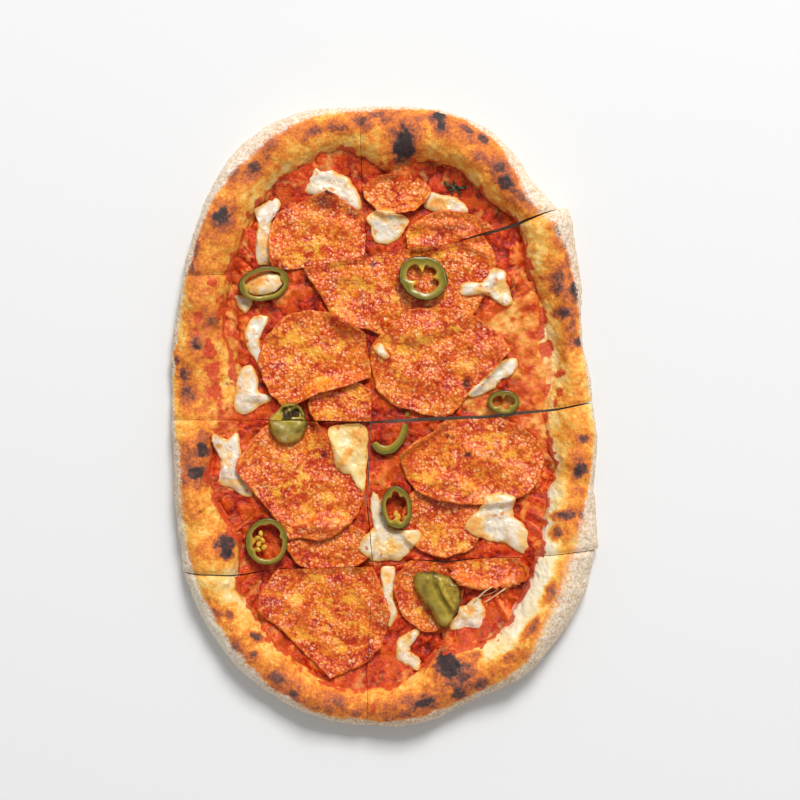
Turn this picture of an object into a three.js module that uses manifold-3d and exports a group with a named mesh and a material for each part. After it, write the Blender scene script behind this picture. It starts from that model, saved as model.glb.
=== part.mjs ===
// A diavola pizza: an oval, hearth-baked pizza with a tall blistered rim, cut into eight pieces
// that still lie together. On its sauce lie thin slices of spicy salami, melted mozzarella and
// slices of pickled jalapeno. Millimetres; +X to the right and +Y away as one looks down on it,
// +Z up. The origin is on the table, under the middle of the pizza's box.

import * as THREE from 'three';
import { mergeVertices } from 'three/addons/utils/BufferGeometryUtils.js';
import Module from 'manifold-3d';

const wasm = await Module();
wasm.setup();

const { PI, abs, atan2, cos, exp, hypot, max, min, sin, sqrt } = Math;
const DEGREE = PI / 180;
const TURN = 2 * PI;

// ---- driving dimensions ----------------------------------------------------------------

// The oval: a superellipse, with bulges of [angle in degrees, half width in degrees, mm].
const HALF_WIDTH = 120;
const HALF_LENGTH = 174.8;
const SQUARENESS = 2.5;
const OUTLINE_BULGES = [
  [3, 7, -2], [22, 13, -6.5], [57, 8, -6], [80, 6, 1.2], [118, 16, 5.5],
  [196, 10, -1], [225, 10, 1], [250, 12, -3], [287, 9, -6], [322, 13, 6],
];

// The rim: how far it reaches in from the outline, how high its crown is, and how far in the
// crown lies. It is puffed all round but for the two long sides above the middle, which are
// flat and fall gently to the sauce.
const RIM_WIDTH = 29;
const RIM_WIDTH_BULGES = [
  [18, 14, -10], [45, 5, 5], [56, 5, -7], [66, 5, 4], [88, 7, 8], [100, 5, -5], [125, 16, 4],
  [168, 12, 9], [197, 12, -8], [221, 8, 10], [260, 15, -8], [284, 6, 8], [320, 14, 8],
  [343, 6, -5],
];
const RIM_HEIGHT = 18;
const RIM_HEIGHT_BULGES = [
  [20, 22, -4], [72, 20, 4], [100, 8, -2], [128, 14, 2], [168, 16, -5], [200, 10, 1],
  [222, 12, 2.5], [250, 10, -1], [281, 8, 3], [310, 18, 4.5], [350, 10, -1],
];
const CROWN_INSET = 12.5;
const CROWN_INSET_BULGES = [[18, 14, -3], [70, 12, 5], [197, 12, -2.5], [255, 16, -2], [325, 12, 8]];
const GENTLE_BULGES = [[20, 16, 1], [168, 14, 1], [352, 10, 0.5]];
const RIM_RIPPLE = 0.8;

// Blisters on the rim: [angle, mm in from the outline, radius, height].
const BLISTERS = [
  [12, 10, 9, 1.5], [33, 9, 10, 1.6], [62, 14, 12, 1.8], [83, 22, 11, 2], [96, 10, 9, 1.4],
  [112, 15, 12, 1.8], [131, 12, 10, 1.8], [147, 13, 11, 1.6], [163, 10, 9, 1.2],
  [188, 12, 9, 1.4], [205, 13, 10, 1.8], [220, 18, 12, 2.2], [238, 11, 9, 1.4],
  [256, 10, 10, 1.8], [272, 10, 9, 1.3], [286, 17, 12, 2.4], [303, 14, 10, 1.6],
  [330, 18, 11, 1.5], [347, 10, 9, 1.5], [357, 11, 8, 1.2],
];

// Heights above the table.
const BASE_THICKNESS = 4.2;
const WIDEST_HEIGHT = 6;
const FOOT_INSET = 5;
const GAP = 0.35;
const SAUCE_GAP = 0.6;
const SAUCE_THICKNESS = 1.1;

// Knife cuts: points [x, y, width of the gap] along each one. They run past the outline.
const CUTS = {
  long: [
    [-12.5, 190, 0.7], [-13, 151, 0.7], [-12.4, 128, 0.7], [-10.2, 102, 0.7], [-12.4, 66, 0.7],
    [-7.3, 26.5, 0.7], [-6.8, 9.6, 0.7], [-9.6, -47, 1.2], [-6.2, -84, 0.7], [-9.6, -146, 0.7],
    [-9, -190, 0.7],
  ],
  upper: [
    [-140, 79, 0.7], [-89, 80, 0.7], [-72.8, 83, 0.8], [-51.9, 83, 0.7], [4, 93.7, 0.7],
    [37.3, 97.7, 0.7], [62.7, 105, 3.4], [76, 109, 3.6], [88, 113.5, 1.5], [122, 125, 1.5],
  ],
  middle: [
    [-140, -1.5, 0.8], [-54, -1.7, 0.8], [-10.7, -3.1, 1.2], [6, -2.2, 2.6], [35, -0.6, 2.4],
    [61, 0.3, 2.2], [77, 2.3, 2.4], [98.8, 4.5, 1.6], [140, 13, 1.2],
  ],
  lower: [
    [-140, -86.5, 1.2], [-110, -87.5, 1.2], [-83.5, -89.2, 1.4], [-59, -85.8, 0.7],
    [7.9, -83.5, 0.7], [14, -80.5, 0.7], [35, -81.9, 1.6], [54.8, -79.6, 0.8],
    [79, -79, 0.7], [103, -76.2, 1], [140, -72, 1.2],
  ],
};
const CUT_TOP = 60;

// The corner of this piece has sprung out past its neighbour: [x, y, reach, dx, dy].
const SPRUNG_CORNERS = { upper_right: [[104, 118, 15, 5, 2]], lower_right: [[119, -74, 12, 1.5, 0]] };

// Salami: thin, slightly wavy slices. Each is an ellipse cut by straight edges [direction, distance].
// pieces names the pieces of pizza on which it lies.
const SALAMI_THICKNESS = 1.3;
const SALAMI_WAVE = 0.2;
const SALAMI = [
  { name: 'salami_under_rim', at: [7, 126], radii: [19, 11], pieces: ['top_right'] },
  { name: 'salami_middle_small', at: [-23, 5], radii: [20, 16], pieces: ['upper_left'] },
  { name: 'salami_low_sliver', at: [-31, -73], radii: [25, 14], pieces: ['lower_left'] },
  { name: 'salami_low_round', at: [33, -57], radii: [23, 22], pieces: ['lower_right'] },
  {
    name: 'salami_top', at: [-27, 92], radii: [38, 42], edges: [[56, 27], [115, 35]],
    pieces: ['top_left'],
  },
  { name: 'salami_strip', at: [38, 98], radii: [26, 18.5], pieces: ['top_right'] },
  {
    name: 'salami_large', at: [8.5, 84], radii: [55, 39], edges: [[213, 46]],
    pieces: ['upper_left', 'upper_right'],
  },
  {
    name: 'salami_right', at: [31.6, 31], radii: [40, 30.5], edges: [[-43, 25]],
    pieces: ['upper_right'],
  },
  {
    name: 'salami_left', at: [-38, 31], radii: [33, 29], edges: [[-71, 18]],
    pieces: ['upper_left'],
  },
  {
    name: 'salami_low_left', at: [-45.7, -34.4], radii: [36.5, 37],
    edges: [[35, 25], [218, 27], [270, 34]],
    pieces: ['lower_left'],
  },
  {
    name: 'salami_bottom', at: [-33, -110], radii: [37, 36],
    edges: [[227, 25], [90, 30], [20, 34]],
    pieces: ['bottom_left', 'bottom_right'],
  },
  {
    name: 'salami_low_right', at: [50, -24], radii: [41, 26], edges: [[126, 27]],
    pieces: ['lower_right'],
  },
  { name: 'salami_bottom_round', at: [25, -99], radii: [19.5, 21.5], pieces: ['bottom_right'] },
  { name: 'salami_flap', at: [59, -87], radii: [22, 10.5], pieces: ['bottom_right'] },
];

// Mozzarella: melted patches, each an outline of corners about a middle point. The first lie
// under the salami and the others over it. A patch is thicker in its middle by a share of how
// far it reaches.
const MOZZARELLA_EDGE = 0.9;
const MOZZARELLA_THINNEST = 1.4;
const MOZZARELLA_SWELL = 0.09;
const MOZZARELLA_UNDER = [
  {
    name: 'mozzarella_crescent_top', at: [-28.5, 129],
    corners: [
      [-47, 132], [-46, 138], [-40.5, 141.5], [-32.5, 142], [-27, 138], [-21, 136], [-15.5, 129],
      [-13, 122.5], [-12.5, 115.5], [-19.5, 116], [-27.5, 119.5], [-35, 121.5], [-45, 127.5],
    ],
  },
  {
    name: 'mozzarella_band', at: [-68.5, 106.5],
    corners: [
      [-63, 123.5], [-58.5, 125], [-56, 121], [-59, 117], [-63.5, 114], [-64, 108.5],
      [-62.5, 102], [-60, 96.5], [-58, 89.5], [-56, 85.5], [-73, 85], [-72, 96.5], [-72, 105],
      [-71.5, 113], [-74, 116], [-69, 119],
    ],
  },
  {
    name: 'mozzarella_dab', at: [-78, 64],
    corners: [
      [-85, 68.5], [-74, 69], [-74.5, 64], [-75.5, 61], [-78.5, 58.5], [-82, 62],
    ],
  },
  {
    name: 'mozzarella_crescent_left', at: [-74, 43.5],
    corners: [
      [-73.5, 57], [-67.5, 58.5], [-64, 54.5], [-68.5, 49.5], [-70, 43.5], [-69.5, 36],
      [-67.5, 30.5], [-64.5, 25], [-66, 23.5], [-69.5, 26], [-71.5, 31.5], [-76.5, 37.5],
      [-78.5, 41], [-78.5, 48], [-76.5, 53],
    ],
  },
  {
    name: 'mozzarella_left', at: [-77, 12.5],
    corners: [
      [-80.5, 28], [-76.5, 30], [-73, 28], [-71, 20.5], [-71.5, 16], [-69, 13], [-61, 11.5],
      [-65.5, 8], [-70.5, 6], [-75, 2.5], [-79.5, 0.5], [-83, 2], [-85, 7], [-84, 17],
      [-82.5, 24.5],
    ],
  },
  {
    name: 'mozzarella_star', at: [-88, -27],
    corners: [
      [-98.5, -10.5], [-95.5, -8.5], [-90.5, -12], [-86, -13], [-85, -9], [-81.5, -6.5],
      [-81.5, -17], [-80, -24.5], [-78, -33], [-72.5, -43.5], [-76.5, -45.5], [-81, -45],
      [-85, -40], [-91.5, -39], [-95.5, -35.5], [-92.5, -30], [-93, -23], [-96, -15],
    ],
  },
  {
    name: 'mozzarella_bottom', at: [11.5, -131.5],
    corners: [
      [18.5, -118], [22.5, -120], [19.5, -123.5], [17, -126], [15, -129.5], [15, -133.5],
      [17.5, -135.5], [21, -135.5], [21, -140], [19, -143], [11.5, -140], [8, -137.5],
      [6.5, -133.5], [6.5, -128.5], [8.5, -124.5], [13, -122],
    ],
  },
  {
    name: 'mozzarella_strand', at: [1.5, -99.5],
    corners: [
      [-2.5, -84.5], [7, -84.5], [6, -94], [5, -102.5], [6.5, -107.5], [8.5, -112], [5, -116],
      [3.5, -119.5], [0, -117.5], [2, -113], [1.5, -108.5], [-3, -104], [-3, -101], [-1.5, -94.5],
    ],
  },
  {
    name: 'mozzarella_top_bits', at: [34.5, 120.5],
    corners: [
      [21, 124.5], [25.5, 127.5], [32.5, 125.5], [41.5, 124], [46.5, 119], [50, 115],
      [40.5, 114.5], [31.5, 115], [23, 117.5],
    ],
  },
];
const MOZZARELLA_OVER = [
  {
    name: 'mozzarella_wing', at: [3, 109.5],
    corners: [
      [-10, 110.5], [-8, 115.5], [-1.5, 116.5], [3.5, 117], [8, 114], [15, 111.5], [11.5, 106],
      [9, 100.5], [3, 97], [-4.5, 98.5], [-7.5, 102.5], [-7, 108],
    ],
  },
  {
    name: 'mozzarella_right', at: [59, 72],
    corners: [
      [41.5, 67.5], [43.5, 74.5], [46.5, 77], [51.5, 75.5], [55.5, 76], [58.5, 79], [59.5, 83],
      [63, 85], [69.5, 81.5], [69, 76], [71, 73.5], [72, 68], [73.5, 63.5], [68.5, 62],
      [64, 64.5], [60, 68], [57, 69.5], [51.5, 69],
    ],
  },
  {
    name: 'mozzarella_slant', at: [62.5, 21],
    corners: [
      [45.5, 13.5], [52.5, 18], [60.5, 26], [64, 29.5], [69, 33], [75, 33.5], [75.5, 27.5],
      [72, 23], [66, 21], [62.5, 15.5], [55.5, 13], [48.5, 10],
    ],
  },
  {
    name: 'mozzarella_spot', at: [-1, 37],
    corners: [
      [-6, 39], [-3.5, 42], [-0.5, 41], [1.5, 37], [3.5, 34], [0.5, 32.5], [-3, 35],
    ],
  },
  {
    name: 'mozzarella_middle', at: [-19, -16],
    corners: [
      [-32.5, -6], [-26.5, -4.5], [-13, -4], [-9.3, -7], [-9, -11.5], [-9.5, -16.5], [-9.5, -23],
      [-10.5, -30.5], [-10.5, -37.5], [-10.8, -49.5], [-13, -45], [-15.5, -38.5], [-16, -31.5],
      [-21.5, -32.5], [-27, -29.5], [-29, -20.5], [-30.5, -11.5],
    ],
  },
  {
    name: 'mozzarella_low', at: [-1, -71.5],
    corners: [
      [-9, -42], [-1, -41.5], [-2, -48], [-3, -55], [0.5, -56.5], [2.5, -61], [8.5, -64],
      [16.5, -63.5], [23.5, -65.5], [19, -70.5], [14.5, -75.5], [9, -81.5], [1, -81],
      [-6.5, -81.5], [-13, -75.5], [-14.5, -71.5], [-11, -67], [-7.5, -64.5], [-5, -60.5],
      [-5, -54], [-8.5, -49.5],
    ],
  },
  {
    name: 'mozzarella_low_right', at: [63, -57],
    corners: [
      [56, -44.5], [64, -42], [72, -43.5], [75.5, -46], [72.5, -50.5], [73.5, -56.5], [79, -60.5],
      [81.5, -66], [83.5, -72], [84, -77.5], [76, -77.5], [72.5, -73.5], [67, -70.5],
      [60.5, -70.5], [53, -67.5], [45.5, -63.5], [47, -57.5], [53, -53], [56.5, -48.5],
    ],
  },
  {
    name: 'mozzarella_pool', at: [48, -113],
    corners: [
      [36.5, -120.5], [38, -115.5], [41.5, -111], [42.5, -106.5], [46.5, -106], [50, -102.5],
      [54, -101.5], [55.5, -106], [57.5, -108.5], [58, -114], [57, -122.5], [51.5, -122],
      [47.5, -121.5], [45, -119.5], [41, -120],
    ],
  },
];

// Jalapeno: rings with a wall and the ribs that part their seed chambers, which are bumps of
// the wall's inner side, [direction, half width, height].
const JALAPENO_RINGS = [
  {
    name: 'jalapeno_star', at: [22, 78], radii: [14, 12.3], wall: 4.2, height: 5, turn: -25,
    lean: [-5, 3], ribs: [[143, 15, 4.6], [272, 15, 3.8], [30, 14, 3.2]],
  },
  {
    name: 'jalapeno_leaf', at: [-67.5, 75], radii: [14.5, 9.6], wall: 2.8, height: 5, turn: 12,
    lean: [8, 9],
  },
  {
    name: 'jalapeno_round', at: [-66, -70], radii: [12, 13.2], wall: 2.8, height: 4.5, turn: 0,
    lean: [3, 2],
  },
  {
    name: 'jalapeno_oval', at: [7.3, -50.8], radii: [8.6, 12.2], wall: 2.6, height: 5, turn: 6,
    lean: [3, -3], ribs: [[262, 20, 9], [95, 16, 3]],
  },
  {
    name: 'jalapeno_small', at: [67.5, 8.5], radii: [9, 6.8], wall: 2.8, height: 5, turn: 0,
    lean: [5, 0],
  },
];

// The wall of a torn ring, round its outer side and back along its inner side.
const JALAPENO_HOOK = {
  name: 'jalapeno_hook', height: 4.6,
  corners: [
    [13.6, -4.4], [12.8, -8.5], [10.6, -14.4], [7, -19.5], [3.4, -22], [0.3, -22.2], [-3, -20.8],
    [-6.8, -17], [-4.6, -14.2], [-2, -17], [0.8, -18], [4, -16.8], [6.8, -13.2], [9, -8.4],
    [9.9, -4.4],
  ],
};

// The hollow end of a jalapeno, which a knife halved: the hollow lies above one line.
const JALAPENO_CUT = {
  name: 'jalapeno_cut', at: [-54, -3.4], radii: [11, 11.8], height: 6.8, hollow: 4, hollowFrom: -2.2,
};
const JALAPENO_TIP = {
  name: 'jalapeno_tip', at: [30.5, -99.5], height: 9, crease: 2.2, creaseAt: [34, -104], creaseTurn: -70,
  corners: [
    [16.5, -89.5], [19.5, -87], [27.5, -86.5], [31.5, -88], [36, -89], [41.5, -95.5], [44, -104],
    [41.5, -109], [38, -114], [36, -120], [32.5, -120], [29, -114], [22.5, -105], [17, -96.5],
  ],
};

// A scorched sprig of herb, up by the rim.
const HERB = { name: 'herb_sprig', at: [40, 129], leaves: 5, leaf: 6.5, thickness: 0.9, turn: 25 };

// How finely the surfaces are divided.
const RIM_STEPS = 96;
const SALAMI_STEPS = 20;
const SALAMI_RINGS = [0.36, 0.7, 1];
const PATCH_RINGS = [0.6, 1];
const END_STEPS = 18;
const END_RINGS = [0.45, 0.8, 1];
const END_EDGE = 1.5;
const CHAMBER_STEPS = 26;
const SMALLEST_CHAMBER = 1.2;
const RING_STEPS = 9;
const SMALLEST_SCRAP = 40;

// How far a soft slice begins to rise before the piece that it lies over, and over what length.
const DRAPE_REACH = 10;
const DRAPE_RAMP = 6;
const STIFF_REACH = 4;
const LAY_MARGIN = 0.3;
const TABLE_END = 500;
const MERGE_DISTANCE = 1e-4;

const COLOURS = {
  dough: ['#e39a4a', 0.8], sauce: ['#c4401a', 0.4], salami: ['#dd6a32', 0.42],
  mozzarella: ['#f3dfbe', 0.38], jalapeno: ['#8c7b2c', 0.35], herb: ['#42491f', 0.7],
};

// ---- the form of the dough ------------------------------------------------------------

// A sum of smooth bumps round the pizza, each [angle, half width, amount].
function bulges(list, angle) {
  let sum = 0;
  for (const [at, width, amount] of list) {
    const away = ((angle / DEGREE - at + 540) % 360) - 180;
    sum += amount * exp(-((away / width) ** 2));
  }
  return sum;
}

// Small unevenness that is never the same twice round the rim.
function ripple(angle) {
  return RIM_RIPPLE * (sin(7 * angle + 1) + 0.7 * sin(13 * angle + 2) + 0.5 * sin(19 * angle + 4));
}

function outline(angle) {
  const across = (abs(cos(angle)) / HALF_WIDTH) ** SQUARENESS;
  const along = (abs(sin(angle)) / HALF_LENGTH) ** SQUARENESS;
  return (across + along) ** (-1 / SQUARENESS) + bulges(OUTLINE_BULGES, angle) + 0.5 * ripple(angle);
}

const rimWidth = (angle) => RIM_WIDTH + bulges(RIM_WIDTH_BULGES, angle) + 0.8 * ripple(angle + 1);
const rimHeight = (angle) => RIM_HEIGHT + bulges(RIM_HEIGHT_BULGES, angle) + ripple(angle + 2);
const crownInset = (angle) => CROWN_INSET + bulges(CROWN_INSET_BULGES, angle);
const gentleness = (angle) => min(1, bulges(GENTLE_BULGES, angle));

// How far the rim has fallen at a share t of the way from its crown to its inner foot:
// a puffed rim stays high and ends steeply, a gentle one slides down.
function fall(t, angle) {
  const gentle = gentleness(angle);
  const puffed = (1 - t ** 2.2) ** 0.6;
  const sloping = 0.5 + 0.5 * cos(PI * t);
  return puffed + (sloping - puffed) * gentle;
}

function blisterHeight(angle, inset) {
  let height = 0;
  const radius = outline(angle);
  for (const [at, blisterInset, size, rise] of BLISTERS) {
    const away = ((angle / DEGREE - at + 540) % 360) - 180;
    const distance = hypot(away * DEGREE * radius, inset - blisterInset);
    height += rise * exp(-((distance / size) ** 2));
  }
  return height;
}

// The rings of the dough's skin, from under the foot over the crown to the inner foot.
// Each gives [how far in from the outline, height].
const OUTER_SHARES = [0.12, 0.5, 1];
const INNER_SHARES = [0.35, 0.65, 0.85, 1];
function doughSection(angle) {
  const crown = crownInset(angle);
  const width = rimWidth(angle);
  const height = rimHeight(angle);
  const section = [[FOOT_INSET, 0], [1.4, 1.8], [0, WIDEST_HEIGHT]];
  for (const share of OUTER_SHARES) {
    const inset = share * crown;
    const rise = sqrt(1 - (1 - share) ** 2);
    const z = WIDEST_HEIGHT + (height - WIDEST_HEIGHT) * rise;
    section.push([inset, z + blisterHeight(angle, inset) * rise]);
  }
  for (const share of INNER_SHARES) {
    const inset = crown + share * (width - crown);
    const left = fall(share, angle);
    const z = BASE_THICKNESS + (height - BASE_THICKNESS) * left;
    section.push([inset, z + blisterHeight(angle, inset) * left]);
  }
  return section;
}

// The dough's height at a distance in from the outline, along the straight lines of its section.
function doughTop(angle, inset) {
  const section = doughSection(angle).slice(2);
  for (let i = 1; i < section.length; i++) {
    const [from, low] = section[i - 1];
    const [to, high] = section[i];
    if (inset <= to) return low + (high - low) * max(0, (inset - from) / (to - from));
  }
  return BASE_THICKNESS;
}

// Where the sauce ends on the rim's inner slope, as a share of the way from crown to foot.
function sauceEdge(angle) {
  return 0.95 - 0.27 * gentleness(angle) + 0.015 * sin(9 * angle);
}

// ---- meshes -----------------------------------------------------------------------------

function closedMesh(positions, triangles) {
  const geometry = new THREE.BufferGeometry();
  geometry.setAttribute('position', new THREE.Float32BufferAttribute(positions.flat(), 3));
  geometry.setIndex(triangles.flat());
  return geometry;
}

// A closed skin from one pole over rows of points, each a loop of equal length, to another.
// Seen from the last pole, the loops run anticlockwise. Each four-sided face is split along one
// diagonal, or along the other.
function closedLoft(firstPole, rows, lastPole, otherDiagonal = false) {
  const count = rows[0].length;
  const positions = [firstPole, ...rows.flat(), lastPole];
  const last = positions.length - 1;
  const triangles = [];
  for (let i = 0; i < count; i++) {
    const next = (i + 1) % count;
    triangles.push([0, 1 + next, 1 + i]);
    for (let row = 1; row < rows.length; row++) {
      const near = 1 + (row - 1) * count;
      const far = near + count;
      const [a, b, c, d] = [near + i, near + next, far + next, far + i];
      if (otherDiagonal) triangles.push([a, b, d], [b, c, d]);
      else triangles.push([a, b, c], [a, c, d]);
    }
    const top = 1 + (rows.length - 1) * count;
    triangles.push([top + i, top + next, last]);
  }
  return closedMesh(positions, triangles);
}

const around = (steps) => Array.from({ length: steps }, (_, i) => (i * TURN) / steps);
const onRay = (angle, radius, z) => [radius * cos(angle), radius * sin(angle), z];

function makeDough() {
  const angles = around(RIM_STEPS);
  const sections = angles.map(doughSection);
  const rows = sections[0].map((_, k) => angles.map((angle, i) => {
    const [inset, z] = sections[i][k];
    return onRay(angle, outline(angle) - inset, z);
  }));
  return closedLoft([0, 0, 0], rows, [0, 0, BASE_THICKNESS]);
}

function makeSauce() {
  const angles = around(RIM_STEPS);
  const ring = (pick, rise) => angles.map((angle) => {
    const crown = crownInset(angle);
    const inset = crown + pick(sauceEdge(angle)) * (rimWidth(angle) - crown);
    return onRay(angle, outline(angle) - inset, doughTop(angle, inset) + rise);
  });
  const picks = [() => 1, (edge) => max(INNER_SHARES[2], (edge + 1) / 2), (edge) => edge];
  const under = picks.map((pick) => ring(pick, SAUCE_GAP));
  const over = picks.map((pick) => ring(pick, SAUCE_GAP + SAUCE_THICKNESS)).reverse();
  const bottom = [0, 0, BASE_THICKNESS + SAUCE_GAP];
  const top = [0, 0, BASE_THICKNESS + SAUCE_GAP + SAUCE_THICKNESS];
  return closedLoft(bottom, [...under, ...over], top, true);
}

function sauceTop(x, y) {
  const angle = (atan2(y, x) + TURN) % TURN;
  const inset = outline(angle) - hypot(x, y);
  return doughTop(angle, inset) + SAUCE_GAP + SAUCE_THICKNESS;
}

// ---- cutting ------------------------------------------------------------------------------

function solidOf(geometry) {
  const bare = geometry.clone();
  for (const name of ['normal', 'uv']) bare.deleteAttribute(name);
  const merged = mergeVertices(bare, MERGE_DISTANCE);
  const vertProperties = new Float32Array(merged.attributes.position.array);
  const triVerts = new Uint32Array(merged.index.array);
  return new wasm.Manifold(new wasm.Mesh({ numProp: 3, vertProperties, triVerts }));
}

function geometryOf(solid) {
  const mesh = solid.getMesh();
  const geometry = new THREE.BufferGeometry();
  geometry.setAttribute('position', new THREE.Float32BufferAttribute(mesh.vertProperties, 3));
  geometry.setIndex(Array.from(mesh.triVerts));
  return geometry;
}

// The space that a knife leaves: a thin upright ribbon along the cut.
function blade(points) {
  const sides = [[], []];
  points.forEach(([x, y, width], i) => {
    const before = points[max(0, i - 1)];
    const after = points[min(points.length - 1, i + 1)];
    const length = hypot(after[0] - before[0], after[1] - before[1]);
    const across = [-(after[1] - before[1]) / length, (after[0] - before[0]) / length];
    sides[0].push(new THREE.Vector2(x + (across[0] * width) / 2, y + (across[1] * width) / 2));
    sides[1].unshift(new THREE.Vector2(x - (across[0] * width) / 2, y - (across[1] * width) / 2));
  });
  const shape = new THREE.Shape(sides.flat());
  const ribbon = new THREE.ExtrudeGeometry(shape, { depth: CUT_TOP, bevelEnabled: false });
  return solidOf(ribbon.translate(0, 0, -CUT_TOP / 3));
}

const knives = Object.values(CUTS).map(blade);

// The place of a cut across its own direction, at a place along it. The coordinates are 0 for x
// and 1 for y.
function cutAt(points, where, along, across) {
  const sorted = [...points].sort((a, b) => a[along] - b[along]);
  for (let i = 1; i < sorted.length; i++) {
    if (where > sorted[i][along] && i < sorted.length - 1) continue;
    const share = (where - sorted[i - 1][along]) / (sorted[i][along] - sorted[i - 1][along]);
    return sorted[i - 1][across] + share * (sorted[i][across] - sorted[i - 1][across]);
  }
  return 0;
}

function pieceAt(x, y) {
  const side = x < cutAt(CUTS.long, y, 1, 0) ? 'left' : 'right';
  if (y > cutAt(CUTS.upper, x, 0, 1)) return `top_${side}`;
  if (y > cutAt(CUTS.middle, x, 0, 1)) return `upper_${side}`;
  if (y > cutAt(CUTS.lower, x, 0, 1)) return `lower_${side}`;
  return `bottom_${side}`;
}

// What the knives leave of a solid: its parts, each with the piece of pizza that it lies on.
function cutApart(geometry) {
  let solid = solidOf(geometry);
  for (const knife of knives) solid = solid.subtract(knife);
  const parts = [];
  for (const part of solid.decompose()) {
    if (part.volume() < SMALLEST_SCRAP) continue;
    const box = part.boundingBox();
    const middle = [0, 1].map((k) => (box.min[k] + box.max[k]) / 2);
    parts.push({ geometry: geometryOf(part), piece: pieceAt(...middle) });
  }
  return parts;
}

function springCorners(geometry, corners = []) {
  const place = geometry.attributes.position;
  for (const [x, y, reach, dx, dy] of corners) {
    for (let i = 0; i < place.count; i++) {
      const share = exp(-((hypot(place.getX(i) - x, place.getY(i) - y) / reach) ** 2));
      place.setXY(i, place.getX(i) + share * dx, place.getY(i) + share * dy);
    }
  }
  return geometry;
}

// ---- toppings -----------------------------------------------------------------------------

// What has been laid so far: each topping's depth inside its outline, and its top.
const laid = [];
const smooth = (t) => {
  const held = min(1, max(0, t));
  return held * held * (3 - 2 * held);
};

// The height of what lies under a point, after the first `level` toppings.
function groundAt(x, y, level = laid.length, reach = DRAPE_REACH) {
  let z = sauceTop(x, y);
  for (let i = 0; i < level; i++) {
    const share = smooth((laid[i].depth(x, y) + reach) / DRAPE_RAMP);
    if (share > 0) z += share * max(0, laid[i].top(x, y) - z);
  }
  return z;
}

// Remembers a topping. It counts as lying only on its own pieces of the pizza, which is judged
// a little nearer to its middle, so that a slice across a cut rises over it before the cut.
function lay([middleX, middleY], depthInside, thickness, pieces) {
  const level = laid.length;
  const depth = (x, y) => {
    const inside = depthInside(x, y);
    if (!pieces || inside < -DRAPE_REACH) return inside;
    const pull = min(1, DRAPE_REACH / (hypot(x - middleX, y - middleY) + 1));
    const piece = pieceAt(x + pull * (middleX - x), y + pull * (middleY - y));
    return pieces.includes(piece) ? inside : -TABLE_END;
  };
  laid.push({ depth, top: (x, y) => groundAt(x, y, level) + GAP + thickness + LAY_MARGIN });
}

// A thin plate laid over what is there. rays holds the angle and radius of each of its corners,
// and rise gives its thickness by the share of the way out to them.
function plate([x, y], rays, rings, rise, underside = drapedOver) {
  const row = (share, over) => rays.map(([angle, radius]) => {
    const px = x + share * radius * cos(angle);
    const py = y + share * radius * sin(angle);
    return [px, py, underside(px, py) + (over ? rise(share, px, py) : 0)];
  });
  const under = rings.map((share) => row(share, false));
  const over = [...rings].reverse().map((share) => row(share, true));
  const low = underside(x, y);
  return closedLoft([x, y, low], [...under, ...over], [x, y, low + rise(0, x, y)]);
}

function drapedOver(x, y) {
  return groundAt(x, y) + GAP;
}

// The angle and radius of each corner, as seen from a middle point, in order of angle.
function raysTo(corners, [x, y]) {
  const rays = corners.map(([px, py]) => [atan2(py - y, px - x), hypot(px - x, py - y)]);
  return rays.sort((a, b) => a[0] - b[0]);
}

// How far inside the outline of some rays a point lies.
function depthIn([x, y], rays) {
  return (px, py) => {
    const angle = atan2(py - y, px - x);
    const next = max(0, rays.findIndex(([at]) => at > angle));
    const after = rays[next];
    const before = rays.at(next - 1);
    const span = (after[0] - before[0] + TURN) % TURN;
    const share = ((angle - before[0] + TURN) % TURN) / span;
    return before[1] + share * (after[1] - before[1]) - hypot(px - x, py - y);
  };
}

// The outline of a salami slice: a slightly uneven ellipse with its straight edges.
function salamiRadius({ radii, edges = [] }) {
  return (angle) => {
    const round = 1 / hypot(cos(angle) / radii[0], sin(angle) / radii[1]);
    let radius = round * (1 + 0.02 * sin(3 * angle + radii[0]) + 0.015 * sin(7 * angle));
    for (const [direction, distance] of edges) {
      const facing = cos(angle - direction * DEGREE);
      if (facing > 0.05) radius = min(radius, distance / facing);
    }
    return radius;
  };
}

function makeSalami(slice) {
  const radius = salamiRadius(slice);
  const rays = around(SALAMI_STEPS).map((angle) => [angle, radius(angle)]);
  const [x, y] = slice.at;
  const wave = (px, py) => SALAMI_WAVE * sin(px / 7 + x) * cos(py / 8 + y);
  const rise = (share, px, py) => SALAMI_THICKNESS + wave(px, py);
  const geometry = plate(slice.at, rays, SALAMI_RINGS, rise);
  const depth = (px, py) => radius(atan2(py - y, px - x)) - hypot(px - x, py - y);
  lay(slice.at, depth, SALAMI_THICKNESS + SALAMI_WAVE, slice.pieces);
  return geometry;
}

function makeMozzarella({ at, corners }) {
  const rays = raysTo(corners, at);
  const size = rays.reduce((sum, [, radius]) => sum + radius, 0) / rays.length;
  const thickness = MOZZARELLA_THINNEST + MOZZARELLA_SWELL * size;
  const rise = (share) => MOZZARELLA_EDGE + (thickness - MOZZARELLA_EDGE) * (1 - share ** 2);
  const geometry = plate(at, rays, PATCH_RINGS, rise);
  lay(at, depthIn(at, rays), thickness);
  return geometry;
}

// A plate of jalapeno flesh with rounded edges, standing on z = 0.
function flesh(shape, height) {
  const bevel = { bevelThickness: 0.8, bevelSize: 0.7, bevelOffset: -0.7, bevelSegments: 1 };
  const depth = height - 2 * bevel.bevelThickness;
  const solid = new THREE.ExtrudeGeometry(shape, { depth, curveSegments: RING_STEPS, ...bevel });
  return solid.translate(0, 0, bevel.bevelThickness);
}

// The height at which something stiff comes to rest on the highest of a few points below it.
function restOn(points) {
  return GAP + max(...points.map(([x, y]) => groundAt(x, y, laid.length, STIFF_REACH)));
}

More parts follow.
